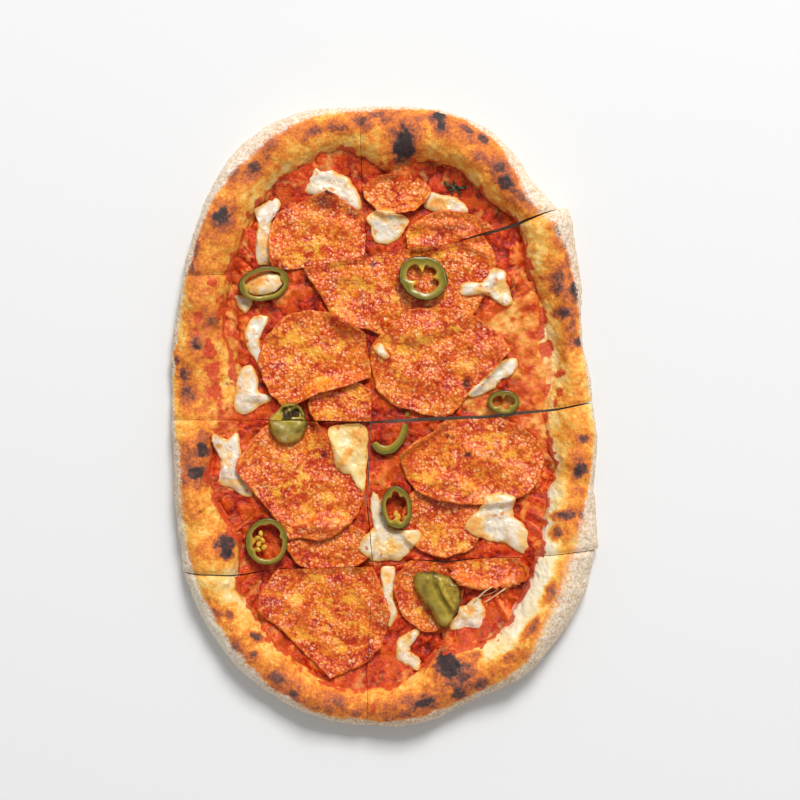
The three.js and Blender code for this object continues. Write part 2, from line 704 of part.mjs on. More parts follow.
// A jalapeno ring: an oval wall, whose inner side has a bump for each rib that parts its seed
// chambers, [direction, half width, height], leaned as it was dropped.
function makeRing({ at, radii, wall, height, turn, lean, ribs = [] }) {
  const shape = new THREE.Shape().absellipse(0, 0, radii[0], radii[1], 0, TURN, false, 0);
  const chamber = around(ribs.length > 0 ? CHAMBER_STEPS : 2 * RING_STEPS).map((angle) => {
    const oval = 1 / hypot(cos(angle) / radii[0], sin(angle) / radii[1]);
    const radius = max(SMALLEST_CHAMBER, oval - wall - bulges(ribs, angle));
    return new THREE.Vector2(radius * cos(angle), radius * sin(angle));
  });
  shape.holes = [new THREE.Path(chamber)];
  const solid = flesh(shape, height).rotateZ(turn * DEGREE);
  solid.rotateX(lean[0] * DEGREE).rotateY(lean[1] * DEGREE);
  solid.computeBoundingBox();
  const below = around(16).flatMap((angle) => [0.5, 1].map((share) => [
    at[0] + share * radii[0] * cos(angle), at[1] + share * radii[1] * sin(angle),
  ]));
  return solid.translate(at[0], at[1], restOn(below) - solid.boundingBox.min.z);
}

function makeHook({ corners, height }) {
  const shape = new THREE.Shape(corners.map(([x, y]) => new THREE.Vector2(x, y)));
  return flesh(shape, height).translate(0, 0, restOn(corners));
}

// The hollow end of a jalapeno: a dome, pressed in on one side of a line.
function makeCutEnd({ at, radii, height, hollow, hollowFrom }) {
  const rays = around(END_STEPS).map((angle) => (
    [angle, 1 / hypot(cos(angle) / radii[0], sin(angle) / radii[1])]
  ));
  const rise = (share, px, py) => {
    const inside = smooth((py - hollowFrom) / 2) * (1 - smooth((share - 0.6) / 0.25));
    return domed(share, END_EDGE, height) - hollow * inside;
  };
  const low = restOn(rays.map(([angle, radius]) => (
    [at[0] + radius * cos(angle), at[1] + radius * sin(angle)]
  )));
  return plate(at, rays, END_RINGS, rise, () => low);
}

// The end of a jalapeno, folded over along a crease.
function makeTip({ at, corners, height, crease, creaseAt, creaseTurn }) {
  const across = [-sin(creaseTurn * DEGREE), cos(creaseTurn * DEGREE)];
  const rise = (share, px, py) => {
    const off = (px - creaseAt[0]) * across[0] + (py - creaseAt[1]) * across[1];
    return domed(share, END_EDGE, height) - crease * exp(-((off / 2.5) ** 2)) * (1 - share ** 4);
  };
  return plate(at, raysTo(corners, at), END_RINGS, rise);
}

// The height of a dome with an upright edge, by the share of the way out to that edge.
function domed(share, edge, height) {
  return edge + (height - edge) * (1 - share ** 2.4) ** 0.7;
}

// A few narrow leaves about one point, as one thin wavy body.
function makeHerb({ at, leaves, leaf, thickness, turn }) {
  const rays = around(leaves * 4).map((angle) => (
    [angle, leaf * (0.62 + 0.38 * cos(leaves * (angle - turn * DEGREE)))]
  ));
  return plate(at, rays, [1], (share, px) => thickness + 0.4 * sin(px) * share);
}

// ---- the pizza ------------------------------------------------------------------------------

const pizza = new THREE.Group();
pizza.name = 'diavola_pizza';

function add(name, geometry, kind) {
  const [color, roughness] = COLOURS[kind];
  const material = new THREE.MeshStandardMaterial({ color, roughness, metalness: 0 });
  const mesh = new THREE.Mesh(geometry, material);
  mesh.name = name;
  pizza.add(mesh);
}

// Adds what the knives leave of a topping. One that lies on two pieces of pizza is two nodes.
function addTopping({ name, pieces }, geometry, kind) {
  const parts = cutApart(geometry).filter((part) => !pieces || pieces.includes(part.piece));
  for (const { geometry: cut, piece } of parts) {
    add(parts.length > 1 ? `${name}_${piece}` : name, cut, kind);
  }
}

for (const { geometry, piece } of cutApart(makeDough())) {
  add(`dough_${piece}`, springCorners(geometry, SPRUNG_CORNERS[piece]), 'dough');
}
for (const { geometry, piece } of cutApart(makeSauce())) add(`sauce_${piece}`, geometry, 'sauce');

for (const patch of MOZZARELLA_UNDER) addTopping(patch, makeMozzarella(patch), 'mozzarella');
for (const slice of SALAMI) addTopping(slice, makeSalami(slice), 'salami');
for (const patch of MOZZARELLA_OVER) addTopping(patch, makeMozzarella(patch), 'mozzarella');
for (const ring of JALAPENO_RINGS) addTopping(ring, makeRing(ring), 'jalapeno');
addTopping(JALAPENO_HOOK, makeHook(JALAPENO_HOOK), 'jalapeno');
addTopping(JALAPENO_CUT, makeCutEnd(JALAPENO_CUT), 'jalapeno');
addTopping(JALAPENO_TIP, makeTip(JALAPENO_TIP), 'jalapeno');
addTopping(HERB, makeHerb(HERB), 'herb');

export default pizza;
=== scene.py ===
# %% [markdown]
# # A diavola pizza, dressed for a photograph
#
# The pizza is an oval of hearth-baked dough with a tall, blistered rim, spread with tomato
# sauce, covered with thin slices of spicy salami, melted mozzarella and pickled jalapeno, and
# cut into eight pieces that still lie together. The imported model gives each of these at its
# real size as a plain solid. This lesson makes each one again as a fine mesh in the same place,
# and gives it the finish of the real food.
#
# The way is the same all through: start from one of Blender's primitives that has the right
# topology, such as a ball for anything that is closed and round, move its points to the form of
# the real thing, cut it with the same knife that cut the pizza, and paint what changes from
# place to place, such as browning, as an attribute on the points that the material reads.

import bmesh
import bpy
import numpy as np
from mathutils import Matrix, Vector


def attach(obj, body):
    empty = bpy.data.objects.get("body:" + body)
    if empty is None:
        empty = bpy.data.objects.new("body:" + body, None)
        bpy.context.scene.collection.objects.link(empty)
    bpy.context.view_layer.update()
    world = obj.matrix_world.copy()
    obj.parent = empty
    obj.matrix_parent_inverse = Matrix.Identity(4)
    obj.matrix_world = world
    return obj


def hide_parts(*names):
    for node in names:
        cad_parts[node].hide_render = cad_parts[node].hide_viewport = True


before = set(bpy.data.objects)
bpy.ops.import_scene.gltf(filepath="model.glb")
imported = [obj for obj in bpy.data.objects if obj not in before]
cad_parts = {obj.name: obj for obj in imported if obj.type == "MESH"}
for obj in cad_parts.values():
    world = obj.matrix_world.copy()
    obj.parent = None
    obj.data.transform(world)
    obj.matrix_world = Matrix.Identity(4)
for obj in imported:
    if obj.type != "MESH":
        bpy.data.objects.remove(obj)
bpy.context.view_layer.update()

# %% [markdown]
# ## Small helpers
#
# Everything below is worked out in millimetres with numpy and turned to metres only when it is
# written to a mesh. Food is never smooth, so the most used helper is `uneven`: smooth random
# relief whose bumps have a known width in millimetres. It gives the same values on each run.

# %% Reading and writing points
MM = 0.001
TURN = 2 * np.pi


def read_points(piece):
    flat = np.empty(len(piece.data.vertices) * 3, np.float32)
    piece.data.vertices.foreach_get("co", flat)
    return flat.reshape(-1, 3).astype(float) / MM


def write_points(piece, points):
    piece.data.vertices.foreach_set("co", (points * MM).astype(np.float32).ravel())
    piece.data.update()


def paint(piece, name, values):
    """Stores a number from 0 to 1 at each point, or one for all, for the material to read."""
    layer = piece.data.attributes.new(name, "FLOAT", "POINT")
    values = np.clip(values, 0, 1) * np.ones(len(piece.data.vertices))
    layer.data.foreach_set("value", values.astype(np.float32))


def select_only(piece):
    bpy.ops.object.select_all(action="DESELECT")
    piece.select_set(True)
    bpy.context.view_layer.objects.active = piece


print(f"a point at 1 in a mesh is read as {1 / MM:.0f} mm")


# %% Unevenness
def smooth(low, high, value):
    """0 below low, 1 above high and an even S between them."""
    share = np.clip((value - low) / (high - low), 0, 1)
    return share * share * (3 - 2 * share)


def corner_value(cell, seed):
    mixed = (cell[:, 0] * 73856093) ^ (cell[:, 1] * 19349663) ^ (cell[:, 2] * 83492791)
    mixed = mixed ^ (seed * 40503 + 977)
    mixed = (mixed ^ (mixed >> 13)) * 1274126177
    mixed = mixed ^ (mixed >> 16)
    return (mixed & 0xFFFF) / 32767.5 - 1


def uneven(points, width, seed, octaves=1):
    """Smooth random relief, about -1 to 1, with bumps `width` mm wide and finer ones on them."""
    points = np.asarray(points, float)
    total = np.zeros(len(points))
    for octave in range(octaves):
        place = points * (2**octave / width) + 31.7 * octave
        cell = np.floor(place).astype(np.int64)
        part = place - cell
        part = part * part * (3 - 2 * part)
        for corner in range(8):
            step = np.array([corner & 1, corner >> 1 & 1, corner >> 2])
            share = np.where(step, part, 1 - part).prod(axis=1)
            total += share * corner_value(cell + step, seed + octave) * 0.55**octave
    return total


def uneven_plan(x, y, width, seed, octaves=1):
    flat = np.stack([x.ravel(), y.ravel(), np.zeros(x.size)], axis=1)
    return uneven(flat, width, seed, octaves).reshape(x.shape)


trial = uneven(np.arange(3000).reshape(-1, 3), 7, 1)
print(f"a trial of the unevenness runs from {trial.min():.2f} to {trial.max():.2f}")

# %% [markdown]
# ## The form of the pizza
#
# These are the sizes that the solids were made from, so that what is modelled here lies exactly
# where they do. The plan is a superellipse with a few bulges. The rim has a width, a height and
# a crown that change round the pizza, and on the two long sides above the middle it is flat and
# slides gently down to the sauce. Angles are in degrees, from the right and anticlockwise.

# %% Driving dimensions of the dough
HALF_WIDTH, HALF_LENGTH, SQUARENESS = 120, 174.8, 2.5
OUTLINE_BULGES = [
    (3, 7, -2), (22, 13, -6.5), (57, 8, -6), (80, 6, 1.2), (118, 16, 5.5),
    (196, 10, -1), (225, 10, 1), (250, 12, -3), (287, 9, -6), (322, 13, 6),
]
RIM_WIDTH = 29
RIM_WIDTH_BULGES = [
    (18, 14, -10), (45, 5, 5), (56, 5, -7), (66, 5, 4), (88, 7, 8), (100, 5, -5), (125, 16, 4),
    (168, 12, 9), (197, 12, -8), (221, 8, 10), (260, 15, -8), (284, 6, 8), (320, 14, 8),
    (343, 6, -5),
]
RIM_HEIGHT = 18
RIM_HEIGHT_BULGES = [
    (20, 22, -4), (72, 20, 4), (100, 8, -2), (128, 14, 2), (168, 16, -5), (200, 10, 1),
    (222, 12, 2.5), (250, 10, -1), (281, 8, 3), (310, 18, 4.5), (350, 10, -1),
]
CROWN_INSET = 12.5
CROWN_INSET_BULGES = [(18, 14, -3), (70, 12, 5), (197, 12, -2.5), (255, 16, -2), (325, 12, 8)]
GENTLE_BULGES = [(20, 16, 1), (168, 14, 1), (352, 10, 0.5)]
RIM_RIPPLE = 0.8
BLISTERS = [
    (12, 10, 9, 1.5), (33, 9, 10, 1.6), (62, 14, 12, 1.8), (83, 22, 11, 2), (96, 10, 9, 1.4),
    (112, 15, 12, 1.8), (131, 12, 10, 1.8), (147, 13, 11, 1.6), (163, 10, 9, 1.2),
    (188, 12, 9, 1.4), (205, 13, 10, 1.8), (220, 18, 12, 2.2), (238, 11, 9, 1.4),
    (256, 10, 10, 1.8), (272, 10, 9, 1.3), (286, 17, 12, 2.4), (303, 14, 10, 1.6),
    (330, 18, 11, 1.5), (347, 10, 9, 1.5), (357, 11, 8, 1.2),
]
BASE_THICKNESS, WIDEST_HEIGHT, FOOT_INSET = 4.2, 6, 5
SAUCE_THICKNESS = 1.5


def bulges(bumps, angle):
    """A sum of smooth bumps round the pizza, each (direction, half width, amount)."""
    total = np.zeros_like(angle)
    for direction, half_width, amount in bumps:
        away = (np.degrees(angle) - direction + 540) % 360 - 180
        total += amount * np.exp(-((away / half_width) ** 2))
    return total


def ripple(angle):
    waves = np.sin(7 * angle + 1) + 0.7 * np.sin(13 * angle + 2) + 0.5 * np.sin(19 * angle + 4)
    return RIM_RIPPLE * waves


def outline(angle):
    across = (np.abs(np.cos(angle)) / HALF_WIDTH) ** SQUARENESS
    along = (np.abs(np.sin(angle)) / HALF_LENGTH) ** SQUARENESS
    oval = (across + along) ** (-1 / SQUARENESS)
    return oval + bulges(OUTLINE_BULGES, angle) + 0.5 * ripple(angle)


def rim_width(angle):
    return RIM_WIDTH + bulges(RIM_WIDTH_BULGES, angle) + 0.8 * ripple(angle + 1)


def rim_height(angle):
    return RIM_HEIGHT + bulges(RIM_HEIGHT_BULGES, angle) + ripple(angle + 2)


def crown_inset(angle):
    return CROWN_INSET + bulges(CROWN_INSET_BULGES, angle)


def gentleness(angle):
    """1 where the rim falls gently to the sauce and 0 where it is puffed."""
    return np.minimum(1, bulges(GENTLE_BULGES, angle))


all_round = np.linspace(0, TURN, 360)
print(f"the rim is {rim_width(all_round).min():.0f} to {rim_width(all_round).max():.0f} mm wide")


# %% Heights of the dough
def fall(share, angle):
    """The rim's height left at a share of the way from its crown to its inner foot."""
    gentle = gentleness(angle)
    share = np.clip(share, 0, 1)
    puffed = (1 - share**2.2) ** 0.6
    sloping = 0.5 + 0.5 * np.cos(np.pi * share)
    return puffed + (sloping - puffed) * gentle


def blister_height(angle, inset):
    total = np.zeros_like(angle)
    radius = outline(angle)
    for direction, blister_inset, size, rise in BLISTERS:
        away = np.radians((np.degrees(angle) - direction + 540) % 360 - 180)
        distance = np.hypot(away * radius, inset - blister_inset)
        total += rise * np.exp(-((distance / size) ** 2))
    return total


def outer_height(angle, share):
    """Height of the outer flank, from its widest line (0) to the crown (1)."""
    rise = np.sqrt(np.clip(1 - (1 - share) ** 2, 0, 1))
    crown = crown_inset(angle)
    plain = WIDEST_HEIGHT + (rim_height(angle) - WIDEST_HEIGHT) * rise
    return plain + blister_height(angle, share * crown) * rise


def inner_height(angle, share):
    """Height of the inner slope, from the crown (0) to the foot (1)."""
    left = fall(share, angle)
    inset = crown_inset(angle) + share * (rim_width(angle) - crown_inset(angle))
    plain = BASE_THICKNESS + (rim_height(angle) - BASE_THICKNESS) * left
    return plain + blister_height(angle, inset) * left


def place_in_rim(x, y):
    """For points of the plan: their angle, how far in they lie, and their share inwards."""
    angle = np.arctan2(y, x) % TURN
    inset = outline(angle) - np.hypot(x, y)
    crown = crown_inset(angle)
    return angle, inset, (inset - crown) / (rim_width(angle) - crown)


def dough_top(x, y):
    angle, inset, share = place_in_rim(x, y)
    outer = outer_height(angle, np.clip(inset / crown_inset(angle), 0, 1))
    inner = inner_height(angle, np.clip(share, 0, 1))
    return np.where(share < 0, outer, inner)


crown_height = inner_height(all_round, 0 * all_round)
print(f"the crown is {crown_height.min():.0f} to {crown_height.max():.0f} mm high")

# %% [markdown]
# ## The knife
#
# A pizza wheel cut the pizza after it was baked: once along, and three times across. Each cut
# is a thin ribbon of empty space that follows a slightly crooked line and is wider where the
# pieces have slipped apart. The ribbons are made once, as one solid, and a Boolean takes it
# away from everything that the wheel went through.

# %% Where the cuts run
CUTS = {
    "long": [
        (-12.5, 190, 0.7), (-13, 151, 0.7), (-12.4, 128, 0.7), (-10.2, 102, 0.7),
        (-12.4, 66, 0.7), (-7.3, 26.5, 0.7), (-6.8, 9.6, 0.7), (-9.6, -47, 1.2),
        (-6.2, -84, 0.7), (-9.6, -146, 0.7), (-9, -190, 0.7),
    ],
    "upper": [
        (-140, 79, 0.7), (-89, 80, 0.7), (-72.8, 83, 0.8), (-51.9, 83, 0.7), (4, 93.7, 0.7),
        (37.3, 97.7, 0.7), (62.7, 105, 2.2), (76, 109, 2.4), (88, 113.5, 1.4), (122, 125, 1.3),
    ],
    "middle": [
        (-140, -1.5, 0.8), (-54, -1.7, 0.8), (-10.7, -3.1, 1.2), (6, -2.2, 2.6), (35, -0.6, 2.4),
        (61, 0.3, 2.2), (77, 2.3, 2.4), (98.8, 4.5, 1.6), (140, 13, 1.2),
    ],
    "lower": [
        (-140, -86.5, 1.2), (-110, -87.5, 1.2), (-83.5, -89.2, 1.4), (-59, -85.8, 0.7),
        (7.9, -83.5, 0.7), (14, -80.5, 0.7), (35, -81.9, 1.6), (54.8, -79.6, 0.8),
        (79, -79, 0.7), (103, -76.2, 1), (140, -72, 1.2),
    ],
}
CUT_STEP, WHEEL_WOBBLE, WOBBLE_LENGTH = 3, 0.22, 9
NARROWEST_CUT, CLOSED_BY = 0.24, 0.5
CUT_TOP, CUT_DEPTH = 40, 60


def cut_line(points):
    """The line as points a few millimetres apart, with a slight wobble of the wheel."""
    line = np.array(points, float)
    steps = np.hypot(*np.diff(line[:, :2], axis=0).T)
    along = np.concatenate([[0], np.cumsum(steps)])
    fine = np.linspace(0, along[-1], int(along[-1] / CUT_STEP))
    line = np.stack([np.interp(fine, along, line[:, k]) for k in range(3)], axis=1)
    wobble = uneven(np.stack([fine, fine * 0, fine * 0], axis=1), WOBBLE_LENGTH, seed=len(points))
    line[:, :2] += WHEEL_WOBBLE * wobble[:, None]
    line[:, 2] = np.maximum(NARROWEST_CUT, line[:, 2] - CLOSED_BY)
    return line


CUT_LINES = {name: cut_line(points) for name, points in CUTS.items()}
print(f"{sum(map(len, CUT_LINES.values()))} points along {len(CUT_LINES)} cuts")


# %% Which slice a point belongs to
def side_of_cut(name, where, along, across):
    """The place across the pizza of a cut, at a place along it."""
    line = CUT_LINES[name][CUT_LINES[name][:, along].argsort()]
    return np.interp(where, line[:, along], line[:, across])


def slice_at(x, y):
    """The name of the slice of pizza at a point of the plan."""
    side = "left" if x < side_of_cut("long", y, 1, 0) else "right"
    for row, cut in (("top", "upper"), ("upper", "middle"), ("lower", "lower")):
        if y > side_of_cut(cut, x, 0, 1):
            return f"{row}_{side}"
    return f"bottom_{side}"


def distance_to_cuts(x, y):
    """How far each point of the plan lies from the nearest gap, less than 0 inside one."""
    nearest = np.full(x.shape, 1e3)
    for line in CUT_LINES.values():
        for here, there in zip(line[:-2:2], line[2::2]):
            run = there[:2] - here[:2]
            share = ((x - here[0]) * run[0] + (y - here[1]) * run[1]) / (run @ run)
            share = np.clip(share, 0, 1)
            away = np.hypot(x - here[0] - share * run[0], y - here[1] - share * run[1])
            nearest = np.minimum(nearest, away - here[2] / 2)
    return nearest


print(f"the middle of the pizza is on the slice {slice_at(0, 0)}")


# %% The ribbons, from a grid that is moved on to the line and extruded
def apply_boolean(piece, cutter, operation):
    """Joins or cuts with the quick solver, and with the exact one where that leaves nothing."""
    before = len(piece.data.vertices)
    for solver in ("MANIFOLD", "EXACT"):
        modifier = piece.modifiers.new("cut", "BOOLEAN")
        modifier.object = cutter
        modifier.operation = operation
        modifier.solver = solver
        kept = piece.data.copy()
        select_only(piece)
        bpy.ops.object.modifier_apply(modifier=modifier.name)
        if len(piece.data.vertices) > before // 20:
            return
        piece.data = kept


def make_ribbon(name, line):
    bpy.ops.object.select_all(action="DESELECT")
    bpy.ops.mesh.primitive_grid_add(x_subdivisions=len(line) - 1, y_subdivisions=1, size=2)
    ribbon = bpy.context.object
    ribbon.name = f"knife_{name}"
    ahead = np.gradient(line[:, :2], axis=0)
    ahead /= np.hypot(*ahead.T)[:, None]
    across = np.stack([-ahead[:, 1], ahead[:, 0]], axis=1)
    flat = read_points(ribbon) * MM
    station = np.rint((flat[:, 0] + 1) / 2 * (len(line) - 1)).astype(int)
    side = np.sign(flat[:, 1])[:, None]
    plan = line[station, :2] + side * across[station] * line[station, 2:] / 2
    write_points(ribbon, np.column_stack([plan, np.full(len(plan), CUT_TOP)]))
    bpy.ops.object.mode_set(mode="EDIT")
    bpy.ops.mesh.select_all(action="SELECT")
    move = {"value": (0, 0, -CUT_DEPTH * MM)}
    bpy.ops.mesh.extrude_region_move(TRANSFORM_OT_translate=move)
    bpy.ops.mesh.select_all(action="SELECT")
    bpy.ops.mesh.normals_make_consistent(inside=False)
    bpy.ops.object.mode_set(mode="OBJECT")
    return ribbon


ribbons = [make_ribbon(name, line) for name, line in CUT_LINES.items()]
knife = ribbons[0]
for ribbon in ribbons[1:]:
    apply_boolean(knife, ribbon, "UNION")
    bpy.data.objects.remove(ribbon)
print(f"the knife has {len(knife.data.polygons)} faces")


# %% Cutting a piece and sorting its parts by the slice that they lie on
SMALLEST_SCRAP = 12  # cubic millimetres


def volume_of(piece):
    shape = bmesh.new()
    shape.from_mesh(piece.data)
    volume = shape.calc_volume() / MM**3
    shape.free()
    return volume


def cut_apart(piece):
    """What the knife leaves of a piece: a list of (slice name, part)."""
    apply_boolean(piece, knife, "DIFFERENCE")
    select_only(piece)
    bpy.ops.mesh.separate(type="LOOSE")
    parts = []
    for part in list(bpy.context.selected_objects):
        if volume_of(part) < SMALLEST_SCRAP:
            bpy.data.objects.remove(part)
            continue
        points = read_points(part)
        middle = (points.min(0) + points.max(0)) / 2
        parts.append((slice_at(*middle[:2]), part))
    return sorted(parts, key=lambda entry: entry[0])


print(f"loose parts under {SMALLEST_SCRAP} cubic mm are swept away")

# %% [markdown]
# ## Materials
#
# All the materials are built from nodes, with colours given as the hex values that one would
# read off a photograph. One function turns such a value to the linear numbers that a shader
# wants, and one small function adds a node, sets it and links what goes into it.

# %% Colour and node helpers
def linear(hex_colour):
    values = [int(hex_colour[i : i + 2], 16) / 255 for i in (1, 3, 5)]
    straight = [v / 12.92 if v <= 0.04045 else ((v + 0.055) / 1.055) ** 2.4 for v in values]
    return (*straight, 1)


def new_material(name):
    material = bpy.data.materials.new(name)
    material.use_nodes = True
    material.node_tree.nodes.clear()
    return material


def add(material, kind, inputs=(), stops=(), out=0, **settings):
    """Adds a node and returns one of its outputs. inputs maps a socket's name or number to a
    value or to another node's output."""
    node = material.node_tree.nodes.new(kind)
    for name, value in settings.items():
        setattr(node, name, value)
    for name, value in dict(inputs).items():
        if isinstance(value, bpy.types.NodeSocket):
            material.node_tree.links.new(value, node.inputs[name])
        elif isinstance(value, str):
            node.inputs[name].default_value = linear(value)
        else:
            node.inputs[name].default_value = value
    for number, (position, colour) in enumerate(stops):
        ramp = node.color_ramp.elements
        stop = ramp[number] if number < 2 else ramp.new(position)
        stop.position = position
        stop.color = linear(colour) if isinstance(colour, str) else (colour,) * 3 + (1,)
    return node.outputs[out] if node.outputs else node


NOISE, CELLS, RAMP = "ShaderNodeTexNoise", "ShaderNodeTexVoronoi", "ShaderNodeValToRGB"
MAP, MATH, BUMP = "ShaderNodeMapRange", "ShaderNodeMath", "ShaderNodeBump"
MIX, PAINTED, PRINCIPLED = "ShaderNodeMix", "ShaderNodeAttribute", "ShaderNodeBsdfPrincipled"
PLUS = {"operation": "MULTIPLY_ADD"}
BLEND = {"data_type": "RGBA", "clamp_factor": True, "out": 2}
print(f"the darkest brown of the crust, #352829, is {[round(v, 3) for v in linear('#352829')]}")

# %% [markdown]
# ## The dough
#
# The dough is one closed lump, so it starts as a ball. A ball has rows of points between two
# poles: the top pole becomes the middle of the pizza, the rows run out over the floor that the
# sauce covers, up the inner slope, over the crown, down the outer flank and back underneath to
# the other pole. Only then come the small blisters and the grainy skin, which push each point
# out along its normal, and last the knife.

# %% A ball whose points know their place
MERGE_DISTANCE = 1e-6


def ball(name, around, rows):
    """A grid rolled up to a ball and merged along its seam and at its poles, with `rows` rows of
    points between them. Returns it with each point's angle and row number."""
    bpy.ops.object.select_all(action="DESELECT")
    bpy.ops.mesh.primitive_grid_add(x_subdivisions=around, y_subdivisions=rows + 1, size=2)
    piece = bpy.context.object
    piece.name = name
    sheet = read_points(piece) * MM
    east, north = (sheet[:, 0] + 1) * np.pi, sheet[:, 1] * np.pi / 2
    rolled = [np.cos(east) * np.cos(north), np.sin(east) * np.cos(north), np.sin(north)]
    write_points(piece, np.column_stack(rolled) / MM)
    bpy.ops.object.mode_set(mode="EDIT")
    bpy.ops.mesh.select_all(action="SELECT")
    bpy.ops.mesh.remove_doubles(threshold=MERGE_DISTANCE)
    bpy.ops.object.mode_set(mode="OBJECT")
    points = read_points(piece) * MM
    angle = np.arctan2(points[:, 1], points[:, 0]) % TURN
    row = np.rint(np.arccos(np.clip(points[:, 2], -1, 1)) / np.pi * (rows + 1)).astype(int)
    return piece, angle, row


def push_along_normals(piece, amounts):
    normals = np.empty(len(piece.data.vertices) * 3, np.float32)
    piece.data.vertex_normals.foreach_get("vector", normals)
    write_points(piece, read_points(piece) + normals.reshape(-1, 3) * amounts[:, None])


trial, angle, row = ball("trial", 12, 5)
print(f"a ball of 12 by 5 rows has {len(trial.data.vertices)} points")
bpy.data.objects.remove(trial)


# %% The rows of the dough, from the middle of the top to the middle underneath
DOUGH_AROUND = 1500
FLOOR_ROWS, INNER_ROWS, OUTER_ROWS, UNDER_ROWS, BASE_ROWS = 7, 48, 32, 10, 16
DOUGH_ROWS = FLOOR_ROWS + INNER_ROWS + OUTER_ROWS + UNDER_ROWS + BASE_ROWS
FLOOR_REACH = 0.985


def dough_points(angle, row):
    """Where each point of the ball goes, by its angle and by the part that its row belongs to."""
    edge, crown, width = outline(angle), crown_inset(angle), rim_width(angle)
    first = row - 1 - np.cumsum([[0], [FLOOR_ROWS], [INNER_ROWS], [OUTER_ROWS], [UNDER_ROWS]], 0)
    on_floor = np.clip(row / FLOOR_ROWS, 0, 1) * FLOOR_REACH
    inwards = 1 - np.clip((first[1] + 1) / INNER_ROWS, 0, 1) ** 1.6
    outwards = 1 - np.cos(np.pi / 2 * (1 - np.clip((first[2] + 1) / OUTER_ROWS, 0, 1)))
    under = np.pi / 2 * (1 - np.clip((first[3] + 1) / UNDER_ROWS, 0, 1))
    on_base = 1 - np.clip((first[4] + 1) / BASE_ROWS, 0, 1)
    parts = [first[1] < 0, first[2] < 0, first[3] < 0, first[4] < 0]
    radius = np.select(parts, [
        (edge - width) * on_floor,
        edge - crown - inwards * (width - crown),
        edge - outwards * crown,
        edge - FOOT_INSET * (1 - np.sin(under)),
    ], (edge - FOOT_INSET) * on_base)
    height = np.select(parts, [
        np.full(len(angle), BASE_THICKNESS),
        inner_height(angle, inwards),
        outer_height(angle, outwards),
        WIDEST_HEIGHT * (1 - np.cos(under)),
    ], 0.0)
    return np.column_stack([radius * np.cos(angle), radius * np.sin(angle), height])


dough, angle, row = ball("dough", DOUGH_AROUND, DOUGH_ROWS)
write_points(dough, dough_points(angle, row))
print(f"dough: {len(dough.data.vertices)} points")

# %% [markdown]
# The skin of the rim rose unevenly in the heat: hundreds of small bubbles between the big
# blisters, and a fine grain of flour all over. The bubbles are drawn from a seeded generator,
# so they are the same on each run, and fewer and smaller towards the sauce.

# %% Small bubbles
BUBBLES = 420
random = np.random.default_rng(7)
bubble_angle = random.uniform(0, TURN, BUBBLES)
bubble_inset = 2 + random.uniform(0, 1, BUBBLES) * (rim_width(bubble_angle) - 4)
bubble_size = random.uniform(1.2, 4.2, BUBBLES) * random.uniform(0.6, 1, BUBBLES)
bubble_rise = bubble_size * random.uniform(0.1, 0.26, BUBBLES)
print(f"{BUBBLES} bubbles, up to {bubble_size.max():.1f} mm in radius")


# %% Where the sauce ends, which the skin needs to know
SAUCE_END = 0.95
SAUCE_SHORT_BULGES = [(24, 11, 6), (10, 8, 3), (165, 16, 1.5)]


def sauce_edge(angle):
    """Where the sauce ends, as a share of the way from the crown to the inner foot."""
    circle = np.column_stack([np.cos(angle), np.sin(angle), angle * 0]) * HALF_WIDTH
    short = bulges(SAUCE_SHORT_BULGES, angle) / (rim_width(angle) - crown_inset(angle))
    end = SAUCE_END + short + 0.06 * uneven(circle, 15, 41, 2)
    return end + 0.045 * uneven(circle, 3, 46, 2)


def rim_share(points):
    """1 on the baked skin of the rim and 0 under the sauce and on the base."""
    angle, _, share = place_in_rim(points[:, 0], points[:, 1])
    above = smooth(1.0, 4.0, points[:, 2])
    return above * (1 - smooth(-0.08, 0.08, share - sauce_edge(angle)))


ends = sauce_edge(all_round)
print(f"the sauce ends at {ends.min():.2f} to {ends.max():.2f} of the way down the inner slope")


# %% Raise the skin, crease it along the cuts, and cut the dough
CREASE_DEPTH, CREASE_WIDTH = 1.3, 1.5
UNDERSIDE_RELIEF = 0.25


def rim_relief(points):
    """How far the skin stands out: bubbles, broad waves and a fine grain."""
    angle = np.arctan2(points[:, 1], points[:, 0]) % TURN
    edge = outline(angle)
    inset = edge - np.hypot(points[:, 0], points[:, 1])
    relief = np.zeros(len(points))
    for at, depth, size, rise in zip(bubble_angle, bubble_inset, bubble_size, bubble_rise):
        away = (angle - at + np.pi) % TURN - np.pi
        near = np.abs(away) * edge < size
        distance = np.hypot(away[near] * edge[near], inset[near] - depth) / size
        relief[near] += rise * np.clip(1 - distance**2, 0, 1) ** 2
    relief += 0.6 * uneven(points, 8, 11) + 0.38 * uneven(points, 3.4, 12, 2)
    return relief + 0.12 * uneven(points, 1.3, 13)


points = read_points(dough)
push_along_normals(dough, rim_relief(points) * rim_share(points))
points = read_points(dough)
from_cut = np.clip(distance_to_cuts(points[:, 0], points[:, 1]), 0, None)
crease = CREASE_DEPTH * np.exp(-((from_cut / CREASE_WIDTH) ** 2))
points[:, 2] -= crease * rim_share(points) * smooth(5, 12, points[:, 2])
on_base = (points[:, 2] < 0.01) & (row > DOUGH_ROWS - BASE_ROWS)
points[on_base, 2] = UNDERSIDE_RELIEF * np.clip(uneven(points[on_base], 5, 14, 2), 0, 1)
points[:, 2] = np.clip(points[:, 2], 0, None)
write_points(dough, points)
slices = dict(cut_apart(dough))
print(f"slices: { {name: len(part.data.polygons) for name, part in slices.items()} }")

